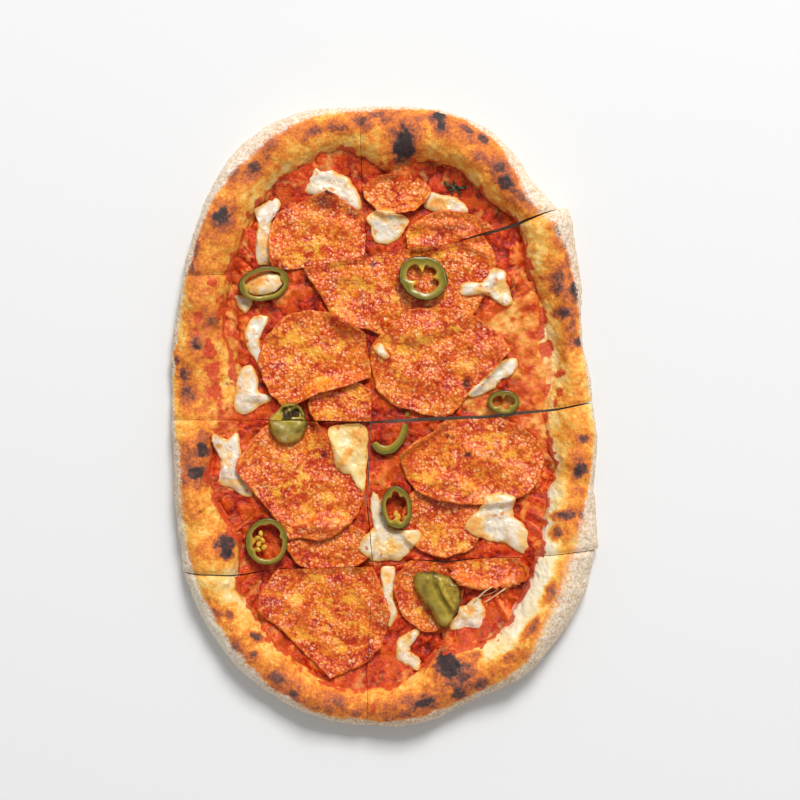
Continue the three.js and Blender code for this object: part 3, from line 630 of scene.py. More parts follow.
# %% [markdown]
# ## What the oven did to the crust
#
# The finish of a crust is a map of how much each place was baked. `bake` runs from 0, pale
# dough, over 0.5, golden, and 0.75, brown, to 1, black char. It is the sum of the height of the
# rim, because the crown gets most heat, some unevenness, and the scorched spots, which are
# listed: each (x, y, half width, half length, turn in degrees, bake). Two more maps are flour,
# which stays pale and grainy on the outer flank, and stain, where sauce and oil ran over the
# dough.

# %% Scorched spots, in millimetres from the middle
SCORCHES = [
    (11.3, 150.7, 7.8, 13.4, -6, 1.3), (30.9, 168.8, 5, 4.6, 0, 1.15),
    (32.6, 163, 3.8, 4.8, 0, 1.0), (-2.3, 169.5, 7, 3, 0, 0.82), (46.9, 160.9, 7, 3.4, -35, 0.84),
    (55.3, 155.2, 6, 3.6, -40, 0.88), (51.9, 144.5, 5, 3.8, 20, 0.76),
    (64.4, 139.4, 5.4, 6, 0, 0.9), (67.7, 131.5, 7.4, 5.4, -35, 0.96), (76, 124, 7, 6, -40, 0.72),
    (97.7, 105, 5.2, 6.4, 0, 1.0), (101, 97, 4, 3.6, 0, 0.78), (107.3, 71.1, 5.6, 9, 10, 0.92),
    (100.5, 58.7, 7.6, 6.4, 20, 0.86), (98, 76, 8.4, 13, 0, 0.8), (104, 88, 5, 8, 0, 0.7),
    (106, 52, 4, 8, 0, 0.72), (108.9, 42.3, 3.8, 4.4, 0, 0.9), (-72.3, 139.4, 6, 5, 15, 0.92),
    (-84, 138, 6, 6.6, -30, 0.8), (-90.6, 112.1, 6.8, 6.6, 0, 1.12), (-40, 160, 9, 4.4, 14, 0.76),
    (-14, 166, 8, 4.6, 5, 0.84), (-28, 162, 8, 3.6, 12, 0.7), (-64, 152, 10, 6, 36, 0.7),
    (-99, 120, 3.2, 7, -18, 0.74), (-105, 94, 3.2, 12, -12, 0.76), (-107.5, 84, 3.6, 7, 0, 0.78),
    (-96.2, 53.6, 5.4, 4.8, 0, 0.92), (-103.9, 41, 4.6, 5.8, -12, 1.0),
    (-116.5, 32.2, 3, 5, 0, 0.82), (-112.5, 24, 3.4, 7, 8, 0.88), (-110.5, 14, 4, 6, 0, 0.82),
    (-101, -18.5, 5, 7, 22, 1.0), (-105.5, -31.5, 8.4, 6, 8, 1.08), (-111, -22, 7, 6, 0, 0.74),
    (-88.6, -70, 8.4, 7.4, 0, 0.94), (-88, -76, 6, 5, 0, 1.0), (-81.3, -96.5, 3.2, 3.2, 0, 0.88),
    (-94, -110, 3.4, 7, 30, 0.74), (-86, -111, 3.8, 5, 0, 0.76), (-70.6, -123.1, 6, 3.6, -38, 0.82),
    (-82, -129, 7, 4, -30, 0.78), (-74, -133, 6, 3.2, 24, 0.76),
    (-59.3, -146.2, 10, 7.4, -32, 0.88), (-50, -155, 5.4, 4, -20, 0.86),
    (-30, -160, 13, 5, -20, 0.72), (111.8, -12.4, 5.4, 3.6, 0, 0.84),
    (109.5, -29.4, 6.4, 7, 0, 0.9), (102, -54.8, 9.4, 3.6, 6, 0.88), (112, -56, 6, 4, 0, 0.8),
    (97, -65, 4.4, 5.2, 0, 0.9), (107.3, -81.3, 3.6, 3.6, 0, 0.84),
    (36.4, -139, 10, 12.5, 20, 1.08), (44, -143, 13, 14, 20, 0.8), (33, -128.5, 5, 4, 0, 0.84),
    (42, -154, 6, 7, 10, 0.92), (22.6, -159.8, 9.4, 3.8, 14, 1.0), (55, -149, 6, 8, -20, 0.84),
    (50, -134, 7, 5, 0, 0.7), (93, -98, 4.4, 10, -28, 0.7), (82, -118, 3.6, 12, -36, 0.66),
    (12, -165, 11, 4.6, 0, 0.76), (70, -134, 3.4, 10, -48, 0.64),
]
print(f"{len(SCORCHES)} scorched spots")

# %% Sauce and oil on the crust
SAUCE_SMEARS = [
    (-96.5, 75.2, 3.4, 2.6, 0, 1.0), (-88, 82, 3, 1.6, 40, 0.9), (-104, 56, 2.6, 4.4, -10, 0.9),
    (-105, 47, 1.4, 4, 14, 0.7), (-98, 38, 4, 7, 10, 0.9), (-97, 26, 4.6, 7, 0, 0.85),
    (-95, 14, 5, 7, 0, 0.6), (-90, 60, 5, 8, 0, 0.7), (74, 96, 6, 9, 0, 1.0),
    (80, 84, 3.4, 9, 8, 1.0), (84.7, 71, 2.2, 10, 6, 1.0), (89, 54, 3.4, 11, 4, 1.0),
    (82, 58, 2.2, 11, 4, 1.0), (93, 39, 2.6, 5, 8, 1.0), (87, 28, 5.5, 7, 0, 0.95),
    (99.4, 25, 2.8, 3, 0, 0.9), (92, 17, 2.2, 6, -4, 0.9), (99, 14, 1.8, 4, -8, 0.85),
    (84, 12, 4, 7, 0, 0.8), (96.5, 8, 1.6, 3, 0, 0.7), (-72, 110, 2, 16, -8, 0.8),
    (-84, 86, 3, 4, 0, 0.5), (82, -8, 7, 9, 0, 0.45), (-6, -164, 1.6, 4, 0, 0.8),
    (2, -150, 6, 4, 0, 0.6), (-86, 68, 5, 6, 0, 0.6), (-93, 4, 8, 6, 0, 0.5),
]
OILED_CRUST = [
    (-97, 66, 9, 10, 0, 0.7), (-98, 44, 8, 14, 0, 0.7), (-98, 20, 8, 12, 0, 0.6),
    (-95, 0, 9, 10, 0, 0.5), (-78, 128, 6, 9, 30, 0.5), (-60, 140, 9, 6, 30, 0.4),
    (80, 88, 5, 14, 0, 0.6), (90, 26, 8, 16, 0, 0.8), (90, 6, 7, 9, 0, 0.6),
    (92, -14, 5, 8, 0, 0.6), (60, 145, 7, 5, -40, 0.3), (96, -64, 4, 8, 0, 0.4),
    (-50, -146, 10, 5, -30, 0.3), (-6, -160, 5, 5, 0, 0.4), (-93, -48, 5, 9, 0, 0.4),
]
print(f"{len(SAUCE_SMEARS)} smears of sauce and {len(OILED_CRUST)} oiled places")

# %% Flour and pale dough, by the direction from the middle
FLOUR_REACH = 1.4
FLOUR_REACH_BULGES = [
    (52, 16, 8), (318, 19, 14), (232, 20, 6), (116, 16, 7), (148, 16, 1.6), (275, 18, 2.6),
    (195, 14, 3),
]
CREAM_LIP_BULGES = [
    (24, 16, 0.55), (62, 20, 0.5), (316, 25, 1.6), (350, 12, 0.2), (236, 20, 0.4), (104, 12, 0.3),
]
PALE_BULGES = [
    (164, 34, 0.06), (228, 18, 0.13), (316, 26, 0.15), (8, 16, 0.1), (352, 10, 0.05), (46, 8, 0.08),
    (106, 20, 0.06),
]
CREAMY_FLOUR_BULGES = [(318, 30, 0.35), (232, 22, 1), (52, 16, 0.45), (120, 20, 0.6)]
flour_reach = FLOUR_REACH + bulges(FLOUR_REACH_BULGES, all_round)
print(f"flour reaches {flour_reach.min():.1f} to {flour_reach.max():.1f} mm in")


# %% Paint the maps
def spot_map(spots, x, y, ragged):
    """The strongest of a list of soft-edged ovals at each point, and a wider halo of it."""
    best, halo = np.zeros(x.shape), np.zeros(x.shape)
    for at_x, at_y, half_width, half_length, turn, strength in spots:
        near = np.hypot(x - at_x, y - at_y) < 2.6 * max(half_width, half_length)
        dx, dy, lean = x[near] - at_x, y[near] - at_y, np.radians(turn)
        across = (dx * np.cos(lean) + dy * np.sin(lean)) / half_width
        along = (dy * np.cos(lean) - dx * np.sin(lean)) / half_length
        away = np.hypot(across, along) + ragged[near]
        best[near] = np.maximum(best[near], strength * (1 - smooth(0.3, 1.4, away)))
        halo[near] = np.maximum(halo[near], strength * (1 - smooth(0.9, 2.1, away)))
    return best, halo


def paint_crust(piece):
    points = read_points(piece)
    x, y, z = points.T
    angle, inset, share = place_in_rim(x, y)
    flank = np.clip(inset / crown_inset(angle), 0, 1)
    to_sauce = share - sauce_edge(angle) + SAUCE_END
    above = z > 2
    ragged = 0.2 * uneven(points, 3.4, 21, 2) + 0.1 * uneven(points, 1.2, 22)
    spots, halo = spot_map(SCORCHES, x, y, ragged)
    lip = smooth(-0.05, 0.5, share) * np.clip(bulges(CREAM_LIP_BULGES, angle), 0, 1.3)
    bake = 0.37 + 0.14 * smooth(0.05, 0.7, flank) - 0.1 * smooth(0.3, 0.9, share) - 0.26 * lip
    bake += (0.1 * uneven(points, 11, 23, 2) + 0.06 * uneven(points, 3.6, 24)
             - bulges(PALE_BULGES, angle))
    bake = np.maximum(bake + 0.2 * halo * (1 - np.clip(lip, 0, 1)), spots)
    reach = FLOUR_REACH + bulges(FLOUR_REACH_BULGES, angle) + 1.3 * uneven(points, 9, 27, 2)
    from_edge = (inset + 0.7 * uneven(points, 1.3, 28)) / np.clip(reach, 0.3, None)
    flour = 1 - smooth(0.15, 1.75, from_edge)
    low_outside = (z < WIDEST_HEIGHT - 1) & (share < 0) | (z < 2)
    underneath = low_outside * smooth(-0.4, 0.6, 0.6 + uneven(points, 14, 29, 2))
    smears, wash = spot_map(SAUCE_SMEARS, x, y, 0.35 * uneven(points, 2.6, 30, 2))
    oiled, _ = spot_map(OILED_CRUST, x, y, 0.5 * uneven(points, 6, 34, 2))
    near_sauce = smooth(0.7, 1.0, to_sauce + 0.1 * uneven(points, 5, 31, 2))
    near_sauce *= 1 - 0.4 * np.clip(lip, 0, 1)
    stain = np.maximum.reduce([smears, 0.35 * wash, 0.8 * near_sauce, oiled])
    smeared = smooth(0.75, 1.0, to_sauce + 0.2 * uneven(points, 6, 33, 3))
    paint(piece, "bake", bake)
    paint(piece, "flour", np.maximum(flour, underneath))
    paint(piece, "stain", stain * above)
    paint(piece, "smear", np.maximum(1.3 * smears, smeared) * above)
    paint(piece, "cream", bulges(CREAMY_FLOUR_BULGES, angle))


def mark_cut_faces(piece, index):
    """Gives the faces that the knife left the material with this index."""
    count = len(piece.data.polygons)
    normals, centres = np.empty(count * 3, np.float32), np.empty(count * 3, np.float32)
    piece.data.polygons.foreach_get("normal", normals)
    piece.data.polygons.foreach_get("center", centres)
    normals, centres = normals.reshape(-1, 3), centres.reshape(-1, 3) / MM
    near = np.abs(distance_to_cuts(centres[:, 0], centres[:, 1])) < 0.15
    marked = (near & (np.abs(normals[:, 2]) < 0.02)).astype(np.int32) * index
    piece.data.polygons.foreach_set("material_index", marked)
    return int(np.count_nonzero(marked))


# %% [markdown]
# ### The material of the crust
#
# Hearth-baked wheat dough: matt and slightly rough, with a skin that goes from cream over gold
# and orange-brown to a purplish black as its sugars burn. The browning is never a clean gradient
# but a crowd of specks, so noise is added to the bake before the colour ramp reads it: most of
# it on the brown parts, less on the pale ones and in the char. Real specks are less than half a
# millimetre wide, too fine to show from where the camera stands, so they are drawn at one and a
# half. Oil and sauce make the stained parts redder and a little glossy.

# %% Crust
def make_crust_material():
    crust = new_material("baked wheat crust, hearth-baked and floured")
    place = add(crust, "ShaderNodeTexCoord", out="Object")
    fine = add(crust, NOISE, {0: place, "Scale": 1 / (1.5 * MM), "Detail": 4, "Roughness": 0.75})
    coarse = add(crust, NOISE, {0: place, "Scale": 1 / (5.5 * MM), "Detail": 5, "Roughness": 0.68})
    broad = add(crust, NOISE, {0: place, "Scale": 1 / (17 * MM), "Detail": 3, "Roughness": 0.6})
    names = ("bake", "flour", "stain", "smear", "cream")
    bake, flour, stain, smear, cream = (
        add(crust, PAINTED, attribute_name=name, out="Fac") for name in names)

    # The browning, in specks round the painted bake.
    specks = add(crust, MATH, {0: coarse, 1: 1.0, 2: fine}, **PLUS)
    centred = add(crust, MATH, {0: specks, 1: 1.0}, operation="SUBTRACT")
    strength = add(crust, RAMP, {0: bake}, stops=[
        (0.05, 0.2), (0.45, 0.85), (0.8, 0.75), (1.0, 0.5),
    ])
    baked = add(crust, MATH, {0: centred, 1: strength, 2: bake}, **PLUS)
    browning = add(crust, RAMP, {0: baked}, stops=[
        (0.0, "#fdf0d0"), (0.14, "#fbe0a0"), (0.28, "#fac25c"), (0.4, "#f6a136"), (0.52, "#e98228"),
        (0.63, "#d26c2e"), (0.74, "#aa5836"), (0.85, "#6e4439"), (1.0, "#352829"),
    ])

    # Flour on the outer flank, in pale grains with shade between them.
    floury = add(crust, MIX, {0: cream, 6: "#f3e0c6", 7: "#f8f0e2"}, **BLEND)
    shaded = add(crust, MIX, {0: cream, 6: "#c29c76", 7: "#e8d0ae"}, **BLEND)
    grain = add(crust, MAP, {0: fine, 1: 0.42, 2: 0.55})
    dusted = add(crust, MIX, {0: grain, 6: shaded, 7: floury}, **BLEND)
    flour_edge = add(crust, MATH, {0: fine, 1: 1.1, 2: flour}, **PLUS)
    flour_cover = add(crust, MAP, {0: flour_edge, 1: 0.85, 2: 1.17, 3: 0.0, 4: 0.95})
    powdered = add(crust, MIX, {0: flour_cover, 6: browning, 7: dusted}, **BLEND)

    # Oil, and sauce over it.
    oil_tone = add(crust, MAP, {0: coarse, 1: 0.36, 2: 0.62})
    oil = add(crust, MIX, {0: oil_tone, 6: "#f6a545", 7: "#df5f24"}, **BLEND)
    oil_edge = add(crust, MATH, {0: coarse, 1: 1.6, 2: stain}, **PLUS)
    oil_cover = add(crust, MAP, {0: oil_edge, 1: 1.05, 2: 1.65, 3: 0.0, 4: 0.85})
    stained = add(crust, MIX, {0: oil_cover, 6: powdered, 7: oil}, **BLEND)
    sauce_tone = add(crust, MAP, {0: fine, 1: 0.4, 2: 0.6})
    sauce = add(crust, MIX, {0: sauce_tone, 6: "#bc300c", 7: "#e8582a"}, **BLEND)
    sauce_line = add(crust, MATH, {0: coarse, 1: 1.5, 2: smear}, **PLUS)
    sauce_cover = add(crust, MAP, {0: sauce_line, 1: 1.17, 2: 1.42, 3: 0.0, 4: 0.92})
    colour = add(crust, MIX, {0: sauce_cover, 6: stained, 7: sauce}, **BLEND)

    wetness = add(crust, MATH, {0: broad, 1: 1.2, 2: oil_cover}, **PLUS)
    sheen = add(crust, MAP, {0: wetness, 1: 0.5, 2: 1.5, 3: 0.7, 4: 0.3})
    relief = add(crust, MATH, {0: fine, 1: 0.8, 2: coarse}, **PLUS)
    bump = add(crust, BUMP, {"Strength": 0.75, "Distance": 0.9 * MM, "Height": relief})
    surface = add(crust, PRINCIPLED, {
        "Base Color": colour, "Roughness": sheen, "Normal": bump, "IOR": 1.45})
    add(crust, "ShaderNodeOutputMaterial", {0: surface})
    return crust


# %% Crumb, where the wheel cut
def make_crumb_material():
    crumb = new_material("open wheat crumb, torn by the wheel")
    place = add(crumb, "ShaderNodeTexCoord", out="Object")
    pores = add(crumb, CELLS, {0: place, "Scale": 1 / (1.8 * MM)})
    # Painted shade: the pores, which the bump sinks, are painted the darkest tan.
    colour = add(crumb, RAMP, {0: pores}, stops=[
        (0.1, "#cfa878"), (0.45, "#f2deb6"), (0.8, "#fbf0d8"),
    ])
    bump = add(crumb, BUMP, {"Strength": 0.8, "Distance": 0.8 * MM, "Height": pores})
    surface = add(crumb, PRINCIPLED, {"Base Color": colour, "Roughness": 0.85, "Normal": bump})
    add(crumb, "ShaderNodeOutputMaterial", {0: surface})
    return crumb


crust_material, crumb_material = make_crust_material(), make_crumb_material()
for material in (crust_material, crumb_material):
    print(f"{material.name}: {len(material.node_tree.nodes)} nodes")

# %% [markdown]
# Two corners of the cut rim have sprung out past their neighbours, as they do when a slice is
# nudged, so their points are moved after painting, and the browning moves with them.

# %% Finish the eight slices of dough
SPRUNG_CORNERS = {"upper_right": (104, 118, 15, 5, 2), "lower_right": (119, -74, 12, 1.5, 0)}
CREASE_ANGLE = np.radians(40)


def finish_piece(piece, name, nodes, materials):
    """Names a finished piece, gives it its materials and smooth shading, hides the solids it stands
    for and hangs it on the root.
    """
    piece.name = name
    piece.data.name = name
    piece.data.materials.clear()
    for material in materials:
        piece.data.materials.append(material)
    select_only(piece)
    bpy.ops.object.shade_smooth_by_angle(angle=CREASE_ANGLE)
    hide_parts(*nodes)
    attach(piece, "root")


def spring_corner(piece, corner):
    x, y, reach, dx, dy = corner
    points = read_points(piece)
    share = np.exp(-((np.hypot(points[:, 0] - x, points[:, 1] - y) / reach) ** 2))
    points[:, 0] += share * dx
    points[:, 1] += share * dy
    write_points(piece, points)


for name, part in slices.items():
    paint_crust(part)
    finish_piece(
        part, f"crust_{name}", [f"dough_{name}"], [crust_material, crumb_material])
    cut_faces = mark_cut_faces(part, 1)
    if name in SPRUNG_CORNERS:
        spring_corner(part, SPRUNG_CORNERS[name])
    print(f"crust_{name}: {len(part.data.polygons)} faces, {cut_faces} of crumb")

# %% [markdown]
# ## The sauce
#
# Crushed tomatoes, spread thin and baked: a wet, lumpy layer, bright where it is thick and dark
# where it dried on. It is a ball again, pressed flat on the dough's floor and up the foot of
# the rim, with a ragged edge. The lumps are real relief, because they catch the light.

# %% Relief and form of the sauce
SAUCE_AROUND, SAUCE_TOP_ROWS, SAUCE_EDGE_ROWS, SAUCE_UNDER_ROWS = 800, 130, 3, 5
SAUCE_CLEARANCE = 0.12
TOMATO_LUMPS = [
    (-33.3, 142.8, 13, 5, 0, 0.8), (60.7, 118, 9, 9, 0, 1.0), (12, 140, 14, 5, 0, 0.35),
    (75.3, 82, 7, 25, 0, 1.0), (-2.3, -33.3, 9, 10, 0, 0.8), (84, -49, 7, 24, 0, 1.5),
    (-65, -112, 9, 28, 22, 1.0), (-29, -144, 20, 6, -12, 0.9), (8, -147, 12, 8, 0, 1.0),
    (22.9, -128.5, 7, 7, 0, 1.6), (45, -125, 14, 4.4, 4, 1.6), (70, -104, 8, 20, -14, 1.0),
    (-58, 70, 12, 10, 0, 0.8), (-76, 92, 5, 22, -8, 0.8), (-80, 50, 6, 14, 0, 0.7),
    (40, 6, 14, 4, 0, 0.4),
]


def sauce_relief(x, y):
    ragged = 0.3 * uneven_plan(x, y, 7, 45)
    lumpy, _ = spot_map(TOMATO_LUMPS, x, y, ragged)
    lumps = 0.65 * uneven_plan(x, y, 6.5, 42) + 0.55 * uneven_plan(x, y, 3, 43, 2)
    return np.clip(lumps * (0.8 + 0.9 * lumpy) + 0.5 * lumpy, -0.9, 2.2)


def sauce_taper(x, y):
    """0 at the sauce's edge and 1 a few millimetres inside it."""
    angle, _, share = place_in_rim(x, y)
    edge = sauce_edge(angle.ravel()).reshape(angle.shape)
    inside = (share - edge) * (rim_width(angle) - crown_inset(angle))
    return np.clip(inside / (3 + 5 * gentleness(angle)), 0, 1) ** 0.6


def sauce_top(x, y):
    taper = sauce_taper(x, y)
    return dough_top(x, y) + SAUCE_CLEARANCE + (SAUCE_THICKNESS + sauce_relief(x, y)) * taper


sauce_rows = SAUCE_TOP_ROWS + SAUCE_EDGE_ROWS + SAUCE_UNDER_ROWS
sauce, angle, row = ball("sauce", SAUCE_AROUND, sauce_rows)
edge_radius = outline(angle) - crown_inset(angle)
edge_radius -= sauce_edge(angle) * (rim_width(angle) - crown_inset(angle))
edge_row = SAUCE_TOP_ROWS + SAUCE_EDGE_ROWS
share = np.interp(row, [0, SAUCE_TOP_ROWS, edge_row, sauce_rows + 1], [0, 0.993, 0.999, 0])
level = np.interp(row, [0, SAUCE_TOP_ROWS, edge_row, sauce_rows + 1], [1, 1, 0, 0])
x, y = edge_radius * share * np.cos(angle), edge_radius * share * np.sin(angle)
under = dough_top(x, y) + SAUCE_CLEARANCE
write_points(sauce, np.column_stack([x, y, under + level * (sauce_top(x, y) - under)]))
sauce_parts = dict(cut_apart(sauce))
print(f"the sauce is in {len(sauce_parts)} parts")


# %% The material of the sauce
def make_sauce_material():
    sauce = new_material("crushed tomato sauce, baked")
    place = add(sauce, "ShaderNodeTexCoord", out="Object")
    pulp = add(sauce, NOISE, {0: place, "Scale": 1 / (2.6 * MM), "Detail": 4, "Roughness": 0.7})
    drift = add(sauce, NOISE, {0: place, "Scale": 1 / (9 * MM), "Detail": 4, "Roughness": 0.6})
    lump = add(sauce, PAINTED, attribute_name="lump", out="Fac")
    thin = add(sauce, PAINTED, attribute_name="thin", out="Fac")
    tone = add(sauce, MATH, {0: pulp, 1: 1.1, 2: lump}, **PLUS)
    pulpy = add(sauce, RAMP, {0: tone}, stops=[
        (0.48, "#620c00"), (0.64, "#9e1a02"), (0.8, "#d03408"), (0.93, "#e65014"), (1.0, "#f4883a"),
    ])
    oil_cover = add(sauce, MAP, {0: drift, 1: 0.5, 2: 0.62, 3: 0.0, 4: 0.65})
    oiled = add(sauce, MIX, {0: oil_cover, 6: pulpy, 7: "#e0600e"}, **BLEND)

    # Where it is thin the oily dough shines through.
    dough_tone = add(sauce, RAMP, {0: drift}, stops=[
        (0.36, "#f6b860"), (0.46, "#ef9138"), (0.56, "#df6426"), (0.64, "#c23a12"),
    ])
    worn = add(sauce, MATH, {0: drift, 1: -1.2, 2: thin}, **PLUS)
    worn_cover = add(sauce, MAP, {0: worn, 1: -0.45, 2: -0.15, 3: 0.0, 4: 0.95})
    colour = add(sauce, MIX, {0: worn_cover, 6: oiled, 7: dough_tone}, **BLEND)

    relief = add(sauce, MATH, {0: pulp, 1: 1.0, 2: lump}, **PLUS)
    bump = add(sauce, BUMP, {"Strength": 0.9, "Distance": 1.1 * MM, "Height": relief})
    wet = add(sauce, MAP, {0: drift, 1: 0.35, 2: 0.65, 3: 0.3, 4: 0.14})
    surface = add(sauce, PRINCIPLED, {
        "Base Color": colour, "Roughness": wet, "Normal": bump, "IOR": 1.37})
    add(sauce, "ShaderNodeOutputMaterial", {0: surface})
    return sauce


THIN_SAUCE = [
    (84, 40, 9, 30, 0, 0.9), (86, 14, 9, 16, 0, 1.0), (90, -10, 5, 12, 0, 0.8),
    (64, 52, 9, 9, 0, 0.6), (-87, 30, 4, 34, 0, 0.8), (-88, 66, 5, 10, 0, 0.6),
    (-94, -6, 4, 8, 0, 0.8), (-90, -36, 4, 12, -15, 0.5), (60, 8, 14, 5, 0, 0.8),
    (-14, -76, 12, 5, 0, 0.7), (34, -44, 10, 5, 0, 0.5), (-20, 70, 10, 6, 0, 0.5),
]
sauce_material = make_sauce_material()
for name, part in sauce_parts.items():
    points = read_points(part)
    lump = 0.18 + 0.26 * sauce_relief(points[:, 0], points[:, 1])
    thin, around = spot_map(THIN_SAUCE, points[:, 0], points[:, 1], 0.35 * uneven(points, 6, 44, 2))
    edge = 1 - sauce_taper(points[:, 0], points[:, 1])
    paint(part, "lump", lump)
    gentle_edge = edge * gentleness(place_in_rim(points[:, 0], points[:, 1])[0])
    paint(part, "thin", np.maximum.reduce([thin, 0.5 * around, 0.2 * edge, 0.9 * gentle_edge]))
    finish_piece(part, f"tomato_{name}", [f"sauce_{name}"], [sauce_material])
sauce_faces = sum(len(part.data.polygons) for part in sauce_parts.values())
print(f"sauce: {len(sauce_parts)} parts, {sauce_faces} faces")

# %% [markdown]
# ## Laying things on the pizza
#
# Each topping lies on what was there before it. A map of heights, one number for each half
# millimetre of the plan, keeps the top of everything laid so far. A soft slice can't follow
# every lump below it, so its underside is that map with each high place spread a little and
# then smoothed. When the slice is down, its own top is written into the map for the next.

# %% The height map
CELL = 0.5
MAP_X, MAP_Y = np.arange(-128, 128, CELL), np.arange(-182, 182, CELL)
map_x, map_y = np.meshgrid(MAP_X, MAP_Y)
surface = np.where(sauce_taper(map_x, map_y) > 0, sauce_top(map_x, map_y), dough_top(map_x, map_y))


def sample(field, x, y):
    column = np.clip((x - MAP_X[0]) / CELL, 0, len(MAP_X) - 1.001)
    line = np.clip((y - MAP_Y[0]) / CELL, 0, len(MAP_Y) - 1.001)
    i, j = column.astype(int), line.astype(int)
    u, v = column - i, line - j
    low = field[j, i] * (1 - u) + field[j, i + 1] * u
    high = field[j + 1, i] * (1 - u) + field[j + 1, i + 1] * u
    return low * (1 - v) + high * v


def shifted(field, cells):
    return [np.roll(field, step, axis) for axis in (0, 1) for step in range(-cells, cells + 1)]


def drape(field, reach):
    """How a soft slice lies over a surface: high places spread by `reach` mm, then smoothed."""
    cells = round(reach / CELL)
    spread = np.maximum.reduce(shifted(field, cells))
    for _ in range(2):
        spread = sum(shifted(spread, cells)) / (4 * cells + 2)
    return np.maximum(field, spread)


def make_slice_map():
    """The number of the slice of pizza on which each cell lies."""
    left = map_x < side_of_cut("long", map_y, 1, 0)
    below = [map_y < side_of_cut(cut, map_x, 0, 1) for cut in ("upper", "middle", "lower")]
    return sum(part.astype(int) for part in below) * 2 + np.where(left, 0, 1)


SLICE_NAMES = [
    f"{row}_{side}" for row in ("top", "upper", "lower", "bottom") for side in ("left", "right")]
slice_map = make_slice_map()
print(f"height map: {surface.shape}, {surface.min():.1f} to {surface.max():.1f} mm")


# %% A thin sheet round a middle point
EDGE_ROWS, BOTTOM_ROWS = 4, 6
LAY_GAP = 0.12
laid_names = []


def no_lift(x, y, share):
    return 0 * x


def lay_sheet(name, middle, radius_of, rise, lift=no_lift, on_slices=None,
              around=220, top_rows=36, reach=2.5):
    """Lays a sheet on the pizza and cuts it. radius_of gives its outline by angle, rise its
    thickness and lift how far it stands off what is below, both by place and by the share of
    the way out to the outline. Returns the parts, each with the name of its slice of pizza."""
    support = drape(surface, reach) + LAY_GAP
    rows = top_rows + EDGE_ROWS + BOTTOM_ROWS
    piece, angle, row = ball(name, around, rows)
    knots = [0, top_rows, top_rows + 1, top_rows + 2, top_rows + 3, top_rows + EDGE_ROWS, rows + 1]
    share = np.interp(row, knots, [0, 0.978, 0.992, 1, 0.997, 0.985, 0])
    level = np.interp(row, knots, [1, 1, 0.85, 0.5, 0.15, 0, 0])
    radius = radius_of(angle) * share
    x, y = middle[0] + radius * np.cos(angle), middle[1] + radius * np.sin(angle)
    z = sample(support, x, y) + lift(x, y, share) + level * rise(x, y, share)
    write_points(piece, np.column_stack([x, y, z]))
    far = radius_of(np.linspace(0, TURN, 90)).max() + 1
    near = (np.abs(map_x - middle[0]) < far) & (np.abs(map_y - middle[1]) < far)
    if on_slices:
        near &= np.isin(slice_map, [SLICE_NAMES.index(part) for part in on_slices])
    cell_x, cell_y = map_x[near], map_y[near]
    outwards = np.arctan2(cell_y - middle[1], cell_x - middle[0])
    cell_share = np.hypot(cell_x - middle[0], cell_y - middle[1]) / radius_of(outwards)
    top = support[near] + lift(cell_x, cell_y, cell_share) + rise(cell_x, cell_y, cell_share)
    laid_names.append(name)
    surface[near] = np.where(cell_share < 1, np.maximum(surface[near], top), surface[near])
    parts = cut_apart(piece)
    if on_slices:
        for part_slice, part in parts:
            if part_slice not in on_slices:
                bpy.data.objects.remove(part)
    return [entry for entry in parts if not on_slices or entry[0] in on_slices]


def join_by_node(name, parts):
    """The parts of a topping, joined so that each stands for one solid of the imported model."""
    groups = {}
    for part_slice, part in parts:
        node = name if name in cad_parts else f"{name}_{part_slice}"
        groups.setdefault(node, []).append(part)
    joined = {}
    for node, members in groups.items():
        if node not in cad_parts:
            for part in members:
                bpy.data.objects.remove(part)
            continue
        select_only(members[0])
        for part in members[1:]:
            part.select_set(True)
        if len(members) > 1:
            bpy.ops.object.join()
        joined[node] = members[0]
    return joined


print(f"a sheet has {EDGE_ROWS} rows of points round its edge and {BOTTOM_ROWS} underneath")

# %% [markdown]
# ## Salami
#
# Spicy salami, sliced 1.3 mm thin from a wide sausage. In the oven its fat ran out, so it is
# wet with orange oil, crowded with pale grains of fat, yellow where oil stands on it and dark
# red where it dried. The slices wave, their rims curl up a little, and they overlap like tiles.

